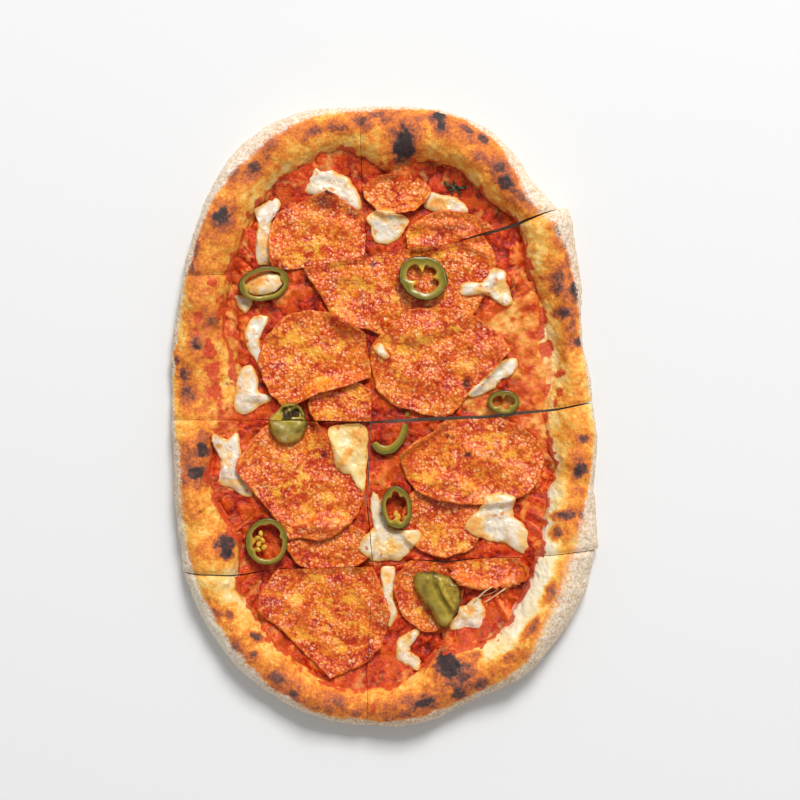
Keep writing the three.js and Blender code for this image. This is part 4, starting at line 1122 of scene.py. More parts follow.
# %% The slices of salami, and the patches of cheese that lie under them
SALAMI_THICKNESS = 1.3
SALAMI = [
    {"name": "salami_under_rim", "at": (7, 126), "radii": (19, 11), "slices": ["top_right"]},
    {"name": "salami_middle_small", "at": (-23, 5), "radii": (20, 16), "slices": ["upper_left"]},
    {"name": "salami_low_sliver", "at": (-31, -73), "radii": (25, 14), "slices": ["lower_left"]},
    {"name": "salami_low_round", "at": (33, -57), "radii": (23, 22), "slices": ["lower_right"]},
    {"name": "salami_top", "at": (-27, 92), "radii": (38, 42), "edges": [(56, 27), (115, 35)],
     "slices": ["top_left"], "folds": [(-46, 112, -18, 104, 4, 1.0)]},
    {"name": "salami_strip", "at": (38, 98), "radii": (26, 18.5), "slices": ["top_right"],
     "folds": [(18, 108, 44, 109, 3, 1.6), (42, 104, 52, 96, 2.5, 1.4)]},
    {"name": "salami_large", "at": (8.5, 84), "radii": (55, 39), "edges": [(213, 46)],
     "slices": ["upper_left", "upper_right"],
     "folds": [(48, 96, 58, 92, 2.5, 2), (-28, 78, 4, 80, 4, 0.8)]},
    {"name": "salami_right", "at": (31.6, 31), "radii": (40, 30.5), "edges": [(-43, 25)],
     "slices": ["upper_right"], "folds": [(-2, 28, 8, 54, 5, 0.9), (40, 26, 62, 40, 4, 1)]},
    {"name": "salami_left", "at": (-38, 31), "radii": (33, 29), "edges": [(-71, 18)],
     "slices": ["upper_left"], "folds": [(-30, 14, -10, 24, 2.5, 1.3), (-68, 46, -60, 56, 2, 1)]},
    {"name": "salami_low_left", "at": (-45.7, -34.4), "radii": (36.5, 37),
     "edges": [(35, 25), (218, 27), (270, 34)], "slices": ["lower_left"],
     "folds": [(-40, -61, -18, -66, 3, 1.2)]},
    {"name": "salami_bottom", "at": (-33, -110), "radii": (37, 36),
     "edges": [(227, 25), (90, 30), (20, 34)], "slices": ["bottom_left", "bottom_right"],
     "folds": [(-62, -96, -30, -132, 4, 1.2), (-14, -98, -4, -114, 2.5, 1.2)]},
    {"name": "salami_low_right", "at": (50, -24), "radii": (41, 26), "edges": [(126, 27)],
     "slices": ["lower_right"], "folds": [(3, -25, 34, -4, 2.4, 2.2), (48, -18, 70, -28, 4, 1)]},
    {"name": "salami_bottom_round", "at": (25, -99), "radii": (19.5, 21.5),
     "slices": ["bottom_right"]},
    {"name": "salami_flap", "at": (59, -87), "radii": (22, 10.5), "slices": ["bottom_right"],
     "torn": 1.5, "folds": [(42, -92, 58, -96, 3, 2.6), (62, -96, 77, -91, 3, 2.2)]},
]
OILY_PATCHES = [
    (-38, 98, 9, 5, 20, 1), (-50, 88, 5, 4, 0, 0.9), (-14, 76, 8, 5, 10, 1),
    (-24, 86, 5, 3, 0, 0.8), (-50, 44, 8, 6, 0, 1), (-40, 36, 8, 5, 0, 1),
    (-26, 40, 9, 4, -10, 0.9), (-52, 30, 6, 4, 0, 0.8), (-34, 20, 8, 4, 0, 0.8),
    (-16, 12, 6, 5, 0, 0.9), (-30, 2, 5, 4, 0, 0.8), (0, 44, 5, 5, 0, 0.9), (12, 38, 7, 5, 0, 1),
    (22, 44, 6, 4, 0, 0.8), (40, 50, 5, 4, 0, 0.8), (8, 26, 6, 4, 0, 0.8), (46, 30, 5, 4, 0, 0.9),
    (14, 102, 7, 5, 0, 0.9), (34, 92, 6, 4, 0, 0.6), (-56, -22, 5, 5, 0, 1),
    (-40, -16, 5, 4, 0, 0.9), (-48, -36, 5, 5, 0, 1), (-32, -44, 5, 4, 0, 0.9),
    (-60, -42, 4, 4, 0, 0.9), (-42, -54, 6, 4, 0, 0.9), (-24, -56, 5, 4, 0, 0.7),
    (62, -12, 8, 5, 0, 1), (72, -22, 6, 5, 0, 0.9), (24, -34, 6, 5, 0, 1), (36, -26, 5, 4, 0, 0.8),
    (50, -38, 7, 4, 0, 0.7), (30, -68, 8, 6, 0, 0.9), (44, -72, 6, 4, 0, 0.8),
    (-50, -100, 6, 5, 0, 1), (-36, -92, 6, 4, 0, 0.9), (-30, -112, 6, 6, 0, 1),
    (-46, -122, 6, 4, 0, 1), (-18, -100, 6, 4, 0, 0.9), (-26, -130, 6, 5, 0, 0.9),
    (-14, -120, 5, 5, 0, 0.8), (22, -92, 5, 3, 0, 0.7), (18, -110, 5, 4, 0, 0.7),
    (56, -84, 8, 3, 0, 0.6), (-58, 70, 5, 3, 0, 0.6), (4, 66, 6, 4, 0, 0.7),
    (-26, 60, 8, 4, -40, 0.8),
]
SCORCHED_FAT = [
    (-31.6, 128, 5.4, 4.4, 0, 1.0), (46.6, 19.2, 2.4, 3, 0, 1.2), (-33, 122, 7, 5, 30, 0.6),
    (-6, 86, 1.6, 1.5, 0, 1.2), (36, -11, 1.5, 1.2, 0, 1.2), (47.4, -21, 2.2, 1.4, 20, 1.0),
    (-33.9, -21.4, 1.6, 1.5, 0, 1.1), (-56, 84, 1.6, 1.6, 0, 0.8),
]


def salami_outline(slice_of):
    across, along = slice_of["radii"]

    def radius_of(angle):
        radius = 1 / np.hypot(np.cos(angle) / across, np.sin(angle) / along)
        radius = radius * (1 + 0.02 * np.sin(3 * angle + across) + 0.015 * np.sin(7 * angle))
        for direction, distance in slice_of.get("edges", []):
            facing = np.cos(angle - np.radians(direction))
            straight = distance / np.maximum(facing, 0.05)
            radius = np.where(facing > 0.05, np.minimum(radius, straight), radius)
        x, y = radius * np.cos(angle), radius * np.sin(angle)
        torn = slice_of.get("torn", 0.35) * uneven_plan(x, y, 2.4, 57)
        return radius + 0.9 * uneven_plan(x, y, 8, round(across), 2) + torn

    return radius_of


def fold_height(folds, x, y):
    """Soft ridges, each from one point to another: (x, y, x, y, half width, height)."""
    total = np.zeros(x.shape)
    for from_x, from_y, to_x, to_y, half_width, height in folds:
        run_x, run_y = to_x - from_x, to_y - from_y
        share = ((x - from_x) * run_x + (y - from_y) * run_y) / (run_x**2 + run_y**2)
        held = np.clip(share, 0, 1)
        away = np.hypot(x - from_x - held * run_x, y - from_y - held * run_y)
        total = np.maximum(total, height * np.exp(-((away / half_width) ** 2)))
    return total


def lay_salami(slice_of):
    folds = slice_of.get("folds", [])
    seed = round(slice_of["at"][0] * 10 + slice_of["at"][1]) % 1000
    radius_of = salami_outline(slice_of)

    def rise(x, y, share):
        grain = 0.24 * uneven_plan(x, y, 2, 52) + 0.24 * uneven_plan(x, y, 4.4, 53)
        return SALAMI_THICKNESS + grain

    def lift(x, y, share):
        curl = smooth(0.72, 1.0, share) * np.clip(uneven_plan(x, y, 17, seed) + 0.35, 0, 1.2)
        wave = 1.15 * uneven_plan(x, y, 12, 51) + 0.65 * uneven_plan(x, y, 6, 56) + 0.65
        return np.clip(wave, 0, 2.3) + 1.9 * curl + fold_height(folds, x, y)

    around = 120 + 5 * round(max(slice_of["radii"]))
    top_rows = 10 + round(max(slice_of["radii"]) / 1.1)
    parts = lay_sheet(slice_of["name"], slice_of["at"], radius_of, rise, lift,
                      slice_of["slices"], around, top_rows)
    for node, part in join_by_node(slice_of["name"], parts).items():
        points = read_points(part)
        x, y = points[:, 0] - slice_of["at"][0], points[:, 1] - slice_of["at"][1]
        depth = radius_of(np.arctan2(y, x)) - np.hypot(x, y)
        ragged = 0.3 * uneven(points, 5, 54, 2)
        patches, halo = spot_map(OILY_PATCHES, points[:, 0], points[:, 1], ragged)
        scorch, _ = spot_map(SCORCHED_FAT, points[:, 0], points[:, 1], ragged * 0.5)
        ridges = fold_height(folds, points[:, 0], points[:, 1]) / 2
        paint(part, "rim", 1 - smooth(0.0, 1.3, depth))
        paint(part, "oil", np.maximum(patches, 0.5 * halo))
        paint(part, "scorch", scorch)
        # Painted highlight: a brighter orange on the fold ridges and just inside the rim.
        paint(part, "ridge", np.maximum(ridges, 0.8 * (1 - smooth(0.2, 2.2, depth))))
        finish_piece(part, f"{node}_sliced", [node], [salami_material])


# %% [markdown]
# ### The material of the salami
#
# Cured, cooked pork: meat stained orange-red by paprika, crowded with grains of fat that took on
# a pinkish cream, each one to two millimetres wide. A pattern of cells draws the grains, fewer
# where the meat is lean, with painted shade, a dark red, in the crevices between them. Yellow oil
# stands in pools. The whole is wet, so it is glossy, and each grain stands up a little and glints.

# %% Salami material
def make_salami_material():
    salami = new_material("spicy salami, sliced and baked in its oil")
    place = add(salami, "ShaderNodeTexCoord", out="Object")
    names = ("rim", "oil", "scorch", "ridge")
    rim, oil, scorch, ridge = (
        add(salami, PAINTED, attribute_name=name, out="Fac") for name in names)
    drift = add(salami, NOISE, {0: place, "Scale": 1 / (12 * MM), "Detail": 2})
    meat = add(salami, NOISE, {0: place, "Scale": 1 / (3.4 * MM), "Detail": 4, "Roughness": 0.68})
    blot = add(salami, NOISE, {0: place, "Scale": 1 / (4.4 * MM), "Detail": 4, "Roughness": 0.65})
    crowding = add(salami, NOISE, {0: place, "Scale": 1 / (8 * MM), "Detail": 2})

    # Lean meat, from dark red to orange.
    tone = add(salami, MATH, {0: meat, 1: 0.8, 2: -0.2}, **PLUS)
    shade = add(salami, MATH, {0: drift, 1: 0.6, 2: tone}, **PLUS)
    lean = add(salami, RAMP, {0: shade}, stops=[
        (0.33, "#a81e02"), (0.42, "#d4450c"), (0.49, "#ea6614"), (0.57, "#f4801e"),
        (0.7, "#faa030"),
    ])

    # Grains of fat: cells of a bent pattern, each with a size by chance and by the drift.
    warp = add(salami, NOISE, {0: place, "Scale": 1 / (2.2 * MM), "Detail": 1}, out="Color")
    bent = add(salami, "ShaderNodeVectorMath", {0: warp, 1: (1.8 * MM,) * 3, 2: place}, **PLUS)
    away = add(salami, CELLS, {0: bent, "Scale": 1 / (1.8 * MM)})
    chance = add(salami, "ShaderNodeSeparateColor", {0: away.node.outputs["Color"]})
    crowd = add(salami, MATH, {0: crowding, 1: 2.6, 2: chance}, **PLUS)
    size = add(salami, MAP, {0: crowd, 1: 1.35, 2: 2.5, 3: 0.0, 4: 0.6})
    inside = add(salami, MATH, {0: size, 1: away}, operation="SUBTRACT")
    fat_cover = add(salami, MAP, {0: inside, 1: -0.06, 2: 0.18, 3: 0.0, 4: 0.62})
    fat = add(salami, MIX, {0: chance.node.outputs[1], 6: "#fa9c4c", 7: "#ffdca8"}, **BLEND)
    # Painted shade: the crevices between the grains, low in the bump, are darkened to a deep red.
    crevice = add(salami, MAP, {0: away, 1: 0.42, 2: 0.66, 3: 0.0, 4: 0.55})
    creviced = add(salami, MIX, {0: crevice, 6: lean, 7: "#b02406"}, **BLEND)
    grained = add(salami, MIX, {0: fat_cover, 6: creviced, 7: fat}, **BLEND)

    # Pools of oil over them, orange and then yellow.
    pooled = add(salami, MATH, {0: oil, 1: 0.2, 2: blot}, **PLUS)
    orange_cover = add(salami, MAP, {0: pooled, 1: 0.54, 2: 0.66, 3: 0.0, 4: 0.6})
    orange = add(salami, MIX, {0: orange_cover, 6: grained, 7: "#f6861a"}, **BLEND)
    yellow_cover = add(salami, MAP, {0: pooled, 1: 0.59, 2: 0.74, 3: 0.0, 4: 0.85})
    yellow = add(salami, MIX, {0: yellow_cover, 6: orange, 7: "#fdb53c"}, **BLEND)

    # Painted highlight: fold ridges and a band just inside the rim are painted brighter orange.
    # The cut rim is a darker red, and a few places are scorched.
    ridge_cover = add(salami, MAP, {0: ridge, 1: 0.15, 2: 1.2, 3: 0.0, 4: 0.6})
    ridged = add(salami, MIX, {0: ridge_cover, 6: yellow, 7: "#f0812a"}, **BLEND)
    rim_cover = add(salami, MAP, {0: rim, 3: 0.0, 4: 0.15})
    rimmed = add(salami, MIX, {0: rim_cover, 6: ridged, 7: "#b5421c"}, **BLEND)
    scorch_cover = add(salami, MAP, {0: scorch, 3: 0.0, 4: 0.88})
    colour = add(salami, MIX, {0: scorch_cover, 6: rimmed, 7: "#52200f"}, **BLEND)

    wet = add(salami, MAP, {0: meat, 1: 0.35, 2: 0.65, 3: 0.1, 4: 0.28})
    pebbles = add(salami, MATH, {0: away, 1: -0.8, 2: meat}, **PLUS)
    bump = add(salami, BUMP, {"Strength": 0.9, "Distance": 0.75 * MM, "Height": pebbles})
    surface = add(salami, PRINCIPLED, {
        "Base Color": colour, "Roughness": wet, "Normal": bump, "IOR": 1.5,
    })
    add(salami, "ShaderNodeOutputMaterial", {0: surface})
    return salami


salami_material = make_salami_material()

# %% [markdown]
# ## Mozzarella
#
# Lumps of fresh mozzarella that melted where they lay. Each patch has an outline of corners that
# are softened and made to wander, because it flowed, and swells from a thin edge to a soft, sagging
# dome. Patches are laid in the order in which they lie on the pizza: some under the salami and
# some over it.

# %% Where the mozzarella lies: the corners of each patch's outline
MOZZARELLA_UNDER = {
    "crescent_top": [
        (-47, 132), (-46, 138), (-40.5, 141.5), (-32.5, 142), (-27, 138), (-21, 136), (-15.5, 129),
        (-13, 122.5), (-12.5, 115.5), (-19.5, 116), (-27.5, 119.5), (-35, 121.5), (-45, 127.5),
    ],
    "band": [
        (-63, 123.5), (-58.5, 125), (-56, 121), (-59, 117), (-63.5, 114), (-64, 108.5),
        (-62.5, 102), (-60, 96.5), (-58, 89.5), (-56, 85.5), (-73, 85), (-72, 96.5), (-72, 105),
        (-71.5, 113), (-74, 116), (-69, 119),
    ],
    "dab": [(-85, 68.5), (-74, 69), (-74.5, 64), (-75.5, 61), (-78.5, 58.5), (-82, 62)],
    "crescent_left": [
        (-73.5, 57), (-67.5, 58.5), (-64, 54.5), (-68.5, 49.5), (-70, 43.5), (-69.5, 36),
        (-67.5, 30.5), (-64.5, 25), (-66, 23.5), (-69.5, 26), (-71.5, 31.5), (-76.5, 37.5),
        (-78.5, 41), (-78.5, 48), (-76.5, 53),
    ],
    "left": [
        (-80.5, 28), (-76.5, 30), (-73, 28), (-71, 20.5), (-71.5, 16), (-69, 13), (-61, 11.5),
        (-65.5, 8), (-70.5, 6), (-75, 2.5), (-79.5, 0.5), (-83, 2), (-85, 7), (-84, 17),
        (-82.5, 24.5),
    ],
    "star": [
        (-98.5, -10.5), (-95.5, -8.5), (-90.5, -12), (-86, -13), (-85, -9), (-81.5, -6.5),
        (-81.5, -17), (-80, -24.5), (-78, -33), (-72.5, -43.5), (-76.5, -45.5), (-81, -45),
        (-85, -40), (-91.5, -39), (-95.5, -35.5), (-92.5, -30), (-93, -23), (-96, -15),
    ],
    "bottom": [
        (18.5, -118), (22.5, -120), (19.5, -123.5), (17, -126), (15, -129.5), (15, -133.5),
        (17.5, -135.5), (21, -135.5), (21, -140), (19, -143), (11.5, -140), (8, -137.5),
        (6.5, -133.5), (6.5, -128.5), (8.5, -124.5), (13, -122),
    ],
    "strand": [
        (-2.5, -84.5), (7, -84.5), (6, -94), (5, -102.5), (6.5, -107.5), (8.5, -112), (5, -116),
        (3.5, -119.5), (0, -117.5), (2, -113), (1.5, -108.5), (-3, -104), (-3, -101), (-1.5, -94.5),
    ],
    "top_bits": [
        (21, 124.5), (25.5, 127.5), (32.5, 125.5), (41.5, 124), (46.5, 119), (50, 115),
        (40.5, 114.5), (31.5, 115), (23, 117.5),
    ],
}
MOZZARELLA_OVER = {
    "wing": [
        (-10, 110.5), (-8, 115.5), (-1.5, 116.5), (3.5, 117), (8, 114), (15, 111.5), (11.5, 106),
        (9, 100.5), (3, 97), (-4.5, 98.5), (-7.5, 102.5), (-7, 108),
    ],
    "right": [
        (41.5, 67.5), (43.5, 74.5), (46.5, 77), (51.5, 75.5), (55.5, 76), (58.5, 79), (59.5, 83),
        (63, 85), (69.5, 81.5), (69, 76), (71, 73.5), (72, 68), (73.5, 63.5), (68.5, 62),
        (64, 64.5), (60, 68), (57, 69.5), (51.5, 69),
    ],
    "slant": [
        (45.5, 13.5), (52.5, 18), (60.5, 26), (64, 29.5), (69, 33), (75, 33.5), (75.5, 27.5),
        (72, 23), (66, 21), (62.5, 15.5), (55.5, 13), (48.5, 10),
    ],
    "spot": [(-6, 39), (-3.5, 42), (-0.5, 41), (1.5, 37), (3.5, 34), (0.5, 32.5), (-3, 35)],
    "middle": [
        (-32.5, -6), (-26.5, -4.5), (-13, -4), (-9.3, -7), (-9, -11.5), (-9.5, -16.5), (-9.5, -23),
        (-10.5, -30.5), (-10.5, -37.5), (-10.8, -49.5), (-13, -45), (-15.5, -38.5), (-16, -31.5),
        (-21.5, -32.5), (-27, -29.5), (-29, -20.5), (-30.5, -11.5),
    ],
    "low": [
        (-9, -42), (-1, -41.5), (-2, -48), (-3, -55), (0.5, -56.5), (2.5, -61), (8.5, -64),
        (16.5, -63.5), (23.5, -65.5), (19, -70.5), (14.5, -75.5), (9, -81.5), (1, -81),
        (-6.5, -81.5), (-13, -75.5), (-14.5, -71.5), (-11, -67), (-7.5, -64.5), (-5, -60.5),
        (-5, -54), (-8.5, -49.5),
    ],
    "low_right": [
        (56, -44.5), (64, -42), (72, -43.5), (75.5, -46), (72.5, -50.5), (73.5, -56.5), (79, -60.5),
        (81.5, -66), (83.5, -72), (84, -77.5), (76, -77.5), (72.5, -73.5), (67, -70.5),
        (60.5, -70.5), (53, -67.5), (45.5, -63.5), (47, -57.5), (53, -53), (56.5, -48.5),
    ],
    "pool": [
        (36.5, -120.5), (38, -115.5), (41.5, -111), (42.5, -106.5), (46.5, -106), (50, -102.5),
        (54, -101.5), (55.5, -106), (57.5, -108.5), (58, -114), (57, -122.5), (51.5, -122),
        (47.5, -121.5), (45, -119.5), (41, -120),
    ],
}
MOZZARELLA_MIDDLES = {
    "crescent_top": (-28.5, 129), "band": (-68.5, 106.5), "crescent_left": (-74, 43.5),
    "left": (-77, 12.5), "star": (-88, -27), "bottom": (11.5, -131.5), "strand": (1.5, -99.5),
    "wing": (3, 109.5), "right": (59, 72), "slant": (62.5, 21), "middle": (-19, -16),
    "low": (-1, -71.5), "low_right": (63, -57), "pool": (48, -113),
}
BUTTERY = {"middle": 1.0, "low": 0.4, "strand": 0.35, "low_right": 0.2, "bottom": 0.3}
MOZZARELLA_EDGE = 0.35
SOAKED_CURD = [
    (-3, 114, 6, 3.6, 0, 1.0), (32, 120.5, 7, 5, 0, 1.0), (46, 117, 3, 4, 0, 0.5),
    (-14, -12, 6, 6, 0, 1.0), (-21, -21, 3, 10, -40, 0.9), (-12, -30, 2.4, 6, 0, 0.6),
    (50, -62, 6, 8, 20, 1.0), (56, -68, 8, 3.4, 0, 0.9), (60, -46, 5, 3, 0, 0.6),
    (80, -70, 4, 8, 0, 0.6), (54, 70, 4, 4, 0, 0.8), (66, 72, 3, 6, 0, 0.6),
    (-67, 96, 4, 8, 0, 0.6), (-60, 88, 4, 6, 0, 0.6), (4, -74, 8, 6, 0, 0.6),
    (16, -68, 5, 5, 0, 0.6), (2, -91, 3, 4, 0, 0.8), (2, -108, 3, 3, 0, 0.6),
    (12, -124, 4, 4, 0, 0.6), (48, -108, 4, 4, 0, 0.8), (-88, -22, 4, 6, 0, 0.5),
    (-82, -38, 5, 4, 0, 0.5), (-78, 20, 4, 5, 0, 0.4), (60, 20, 3, 5, 40, 0.5),
]


def corner_radius(corners, middle, softness=0.14):
    """How far an outline of corners reaches from a middle point, by angle, its corners softened."""
    start = np.array(corners, float) - middle
    run = np.roll(start, -1, axis=0) - start

    def reach(angle):
        ahead = np.stack([np.cos(angle), np.sin(angle)])
        furthest = np.full(np.shape(angle), 1.0)
        for (x, y), (run_x, run_y) in zip(start, run):
            facing = ahead[0] * run_y - ahead[1] * run_x
            facing = np.where(np.abs(facing) < 1e-9, 1e-9, facing)
            along = (x * run_y - y * run_x) / facing
            share = (x * ahead[1] - y * ahead[0]) / facing
            met = (share >= 0) & (share <= 1) & (along > 0)
            furthest = np.where(met, np.maximum(furthest, along), furthest)
        return furthest

    def radius_of(angle):
        turns = softness * np.array([-1, -0.5, 0, 0.5, 1])
        soft = sum(weight * reach(angle + turn) for turn, weight in zip(turns, (1, 2, 3, 2, 1))) / 9
        x, y = soft * np.cos(angle) + middle[0], soft * np.sin(angle) + middle[1]
        return soft + 0.55 * uneven_plan(x, y, 3.4, 64, 2)

    return radius_of


def melted_rise(thickness):
    def rise(x, y, share):
        swell = (1 - np.clip(share, 0, 1) ** 3) ** 0.9
        sag = 0.85 + 0.5 * uneven_plan(x, y, 6, 61) + 0.14 * uneven_plan(x, y, 2, 62, 2)
        return MOZZARELLA_EDGE + (thickness - MOZZARELLA_EDGE) * swell * sag

    return rise


# %% [markdown]
# ### The material of the mozzarella
#
# Wet, stretched curd: white with a little cream, and slightly see-through at thin edges, which
# here take up the yellow and orange of the oil around them. Small pits hold drops of orange oil.
# A little subsurface scattering makes it soft, and its wet skin gives sharp small glints.

# %% Mozzarella material
def make_mozzarella_material():
    cheese = new_material("fresh mozzarella, melted and oily")
    place = add(cheese, "ShaderNodeTexCoord", out="Object")
    edge = add(cheese, PAINTED, attribute_name="edge", out="Fac")
    butter = add(cheese, PAINTED, attribute_name="butter", out="Fac")
    curd = add(cheese, NOISE, {0: place, "Scale": 1 / (5 * MM), "Detail": 4, "Roughness": 0.6})
    fine = add(cheese, NOISE, {0: place, "Scale": 1 / (1.3 * MM), "Detail": 2})
    white = add(cheese, RAMP, {0: curd}, stops=[
        (0.32, "#dcb48c"), (0.41, "#e6d0b4"), (0.53, "#f0e5d6"),
    ])
    creaminess = add(cheese, MAP, {0: butter, 3: 0.0, 4: 0.8})
    creamy = add(cheese, MIX, {0: creaminess, 6: white, 7: "#f9d68c"}, **BLEND)

    # Oil soaked in from the edges.
    soaked = add(cheese, MATH, {0: curd, 1: -1.5, 2: edge}, **PLUS)
    yellow_cover = add(cheese, MAP, {0: soaked, 1: -0.65, 2: 0.0, 3: 0.0, 4: 0.85})
    yellow = add(cheese, MIX, {0: yellow_cover, 6: creamy, 7: "#f6bf62"}, **BLEND)
    orange_cover = add(cheese, MAP, {0: soaked, 1: 0.0, 2: 0.5, 3: 0.0, 4: 0.85})
    orange = add(cheese, MIX, {0: orange_cover, 6: yellow, 7: "#ee8e34"}, **BLEND)

    # Drops of oil in small pits: cells of a bent pattern, most of them left empty.
    warp = add(cheese, NOISE, {0: place, "Scale": 1 / (2.6 * MM), "Detail": 1}, out="Color")
    bent = add(cheese, "ShaderNodeVectorMath", {0: warp, 1: (2.4 * MM,) * 3, 2: place}, **PLUS)
    away = add(cheese, CELLS, {0: bent, "Scale": 1 / (4 * MM)})
    chance = add(cheese, "ShaderNodeSeparateColor", {0: away.node.outputs["Color"]})
    size = add(cheese, MAP, {0: chance, 1: 0.4, 2: 1.0, 3: 0.0, 4: 0.44})
    inside = add(cheese, MATH, {0: size, 1: away}, operation="SUBTRACT")
    drop = add(cheese, MAP, {0: inside, 1: -0.06, 2: 0.14, 3: 0.0, 4: 0.85})
    oil = add(cheese, MIX, {0: chance.node.outputs[1], 6: "#f0a53e", 7: "#db6e26"}, **BLEND)
    colour = add(cheese, MIX, {0: drop, 6: orange, 7: oil}, **BLEND)

    relief = add(cheese, MATH, {0: drop, 1: -1.0, 2: fine}, **PLUS)
    bump = add(cheese, BUMP, {"Strength": 0.5, "Distance": 0.5 * MM, "Height": relief})
    surface = add(cheese, PRINCIPLED, {
        "Base Color": colour, "Roughness": 0.24, "Normal": bump, "IOR": 1.45,
        "Subsurface Weight": 0.3, "Subsurface Scale": 2 * MM,
    })
    add(cheese, "ShaderNodeOutputMaterial", {0: surface})
    return cheese


mozzarella_material = make_mozzarella_material()


def lay_mozzarella(name, corners):
    middle = MOZZARELLA_MIDDLES.get(name, tuple(np.mean(corners, axis=0)))
    radius_of = corner_radius(corners, middle)
    size = np.mean(radius_of(np.linspace(0, TURN, 60)))
    rise = melted_rise(1.5 + 0.09 * size)
    parts = lay_sheet(
        f"mozzarella_{name}", middle, radius_of, rise, around=200, top_rows=26, reach=1.5)
    for node, part in join_by_node(f"mozzarella_{name}", parts).items():
        points = read_points(part)
        x, y = points[:, 0] - middle[0], points[:, 1] - middle[1]
        depth = (1 - np.hypot(x, y) / radius_of(np.arctan2(y, x))) * radius_of(np.arctan2(y, x))
        ragged = 0.4 * uneven(points, 4, 65, 2)
        soaked, around = spot_map(SOAKED_CURD, points[:, 0], points[:, 1], ragged)
        paint(part, "edge", np.maximum(1 - smooth(0.0, 3.6, depth), soaked + 0.2 * around))
        paint(part, "butter", BUTTERY.get(name, 0.12))
        finish_piece(part, f"{node}_melted", [node], [mozzarella_material])


# %% Lay them in their order: cheese, salami, cheese
for name, corners in MOZZARELLA_UNDER.items():
    lay_mozzarella(name, corners)
for slice_of in SALAMI:
    lay_salami(slice_of)
for name, corners in MOZZARELLA_OVER.items():
    lay_mozzarella(name, corners)
print(f"{len(laid_names)} soft toppings, the highest at {surface.max():.1f} mm")

# %% [markdown]
# ## Jalapeno
#
# Pickled jalapeno, cut across. A ring starts as a torus whose round section is squared to a wall
# with a skin side and two cut faces; the white ribs that part its seed chambers are bumps of the
# wall's inner side. Each ring is turned, leaned as it was dropped, and rests on the toppings.
# Two pieces aren't rings: a hollow end, that the knife halved, and a folded, creased tip.

# %% The rings
JALAPENO_RINGS = [
    {"name": "jalapeno_star", "at": (22, 78), "radii": (14, 12.3), "height": 5, "turn": -25,
     "lean": (-5, 3), "wall": 4.5,
     "ribs": [(122, 5.6, 13), (230, 5, 13), (30, 4.2, 12), (87, 1, 9)]},
    {"name": "jalapeno_leaf", "at": (-67.5, 75), "radii": (14.5, 9.6), "height": 5, "turn": 12,
     "lean": (8, 9), "wall": 2.9, "ribs": [(182, 3.4, 12), (5, 2, 10)], "filling": (10.8, 6.3)},
    {"name": "jalapeno_round", "at": (-66, -70), "radii": (12, 13.2), "height": 4.5, "turn": 0,
     "lean": (3, 2), "wall": 3,
     "ribs": [(178, 3, 16), (215, 1.6, 12), (20, 1.4, 10), (95, 1.2, 10)],
     "seeds": [(-5.4, 1.8, 20), (-4.6, -1.6, 80), (-2.6, 0.6, 130), (-5.2, -4.6, 160),
               (-1.6, -3.2, 40), (-3.4, 4.4, 100)]},
    {"name": "jalapeno_oval", "at": (7.3, -50.8), "radii": (8.6, 12.2), "height": 5, "turn": 6,
     "lean": (3, -3), "wall": 2.7,
     "ribs": [(68, 2.6, 13), (112, 2, 12), (262, 4.2, 14), (300, 2, 12)],
     "seeds": [(-0.6, -3.6, 80), (0.8, -5.4, 100)]},
    {"name": "jalapeno_small", "at": (67.5, 8.5), "radii": (9, 6.8), "height": 5, "turn": 0,
     "lean": (5, 0), "wall": 2.7, "ribs": [(95, 2.4, 16), (228, 2.4, 14), (325, 2, 14)]},
]
SEED_LENGTH, SEED_WIDTH, SEED_HEIGHT = 1.9, 1.3, 0.9
RING_AROUND, RING_SECTION = 120, 28


def turned(points, axis, degrees):
    """Points turned about an axis through the origin."""
    first, second = {"x": (1, 2), "y": (2, 0), "z": (0, 1)}[axis]
    cosine, sine = np.cos(np.radians(degrees)), np.sin(np.radians(degrees))
    out = points.copy()
    out[:, first] = points[:, first] * cosine - points[:, second] * sine
    out[:, second] = points[:, first] * sine + points[:, second] * cosine
    return out


def squared(turn, power):
    """The cosine and the sine of a turn, pushed out from a circle towards a square."""
    return [np.sign(f) * np.abs(f) ** power for f in (np.cos(turn), np.sin(turn))]


def shaken(points, width, seeds):
    """A small random shift for each point, from one seed for each direction."""
    return np.column_stack([uneven(points, width, seed) for seed in seeds])


def ring_points(angle, around_section, ring):
    """The wall of a ring: squared section, with the ribs as bumps of its inner side."""
    round_radius = 1 / np.hypot(np.cos(angle) / ring["radii"][0], np.sin(angle) / ring["radii"][1])
    waves = 1 + 0.012 * np.sin(3 * angle + ring["height"]) + 0.01 * np.sin(5 * angle)
    outer = round_radius * waves
    wall = np.full(len(angle), float(ring["wall"]))
    for direction, rise, half_width in ring["ribs"]:
        away = (np.degrees(angle) - direction + 540) % 360 - 180
        wall += rise * np.exp(-((away / half_width) ** 2))
    outside, above = squared(around_section, 0.45)
    inwards = (1 - outside) / 2
    radius = outer - wall * inwards
    height = ring["height"] / 2 * above * (1 - 0.25 * inwards)
    points = np.column_stack([radius * np.cos(angle), radius * np.sin(angle), height])
    return points, inwards, wall


def settle(points, at, share=90):
    """Puts a leaned thing down on what lies below it, sunk in a little where that is high."""
    low = points[:, 2] < np.percentile(points[:, 2], 40)
    under = sample(surface, points[low, 0] + at[0], points[low, 1] + at[1])
    drop = np.percentile(under - points[low, 2], share)
    return points + [at[0], at[1], drop]


def surface_height(x, y):
    return sample(surface, np.array([x]), np.array([y]))[0] + 0.3


def make_oval(name, centre, radii, turn):
    """A small closed oval with a slightly uneven skin, for a seed or a filling."""
    bpy.ops.object.select_all(action="DESELECT")
    bpy.ops.mesh.primitive_uv_sphere_add(segments=24, ring_count=12, radius=1)
    piece = bpy.context.object
    piece.name = name
    points = read_points(piece) * MM * radii
    points += 0.06 * min(radii) * shaken(points, 1.6, (81, 82, 83))
    write_points(piece, turned(points, "z", turn) + centre)
    return piece


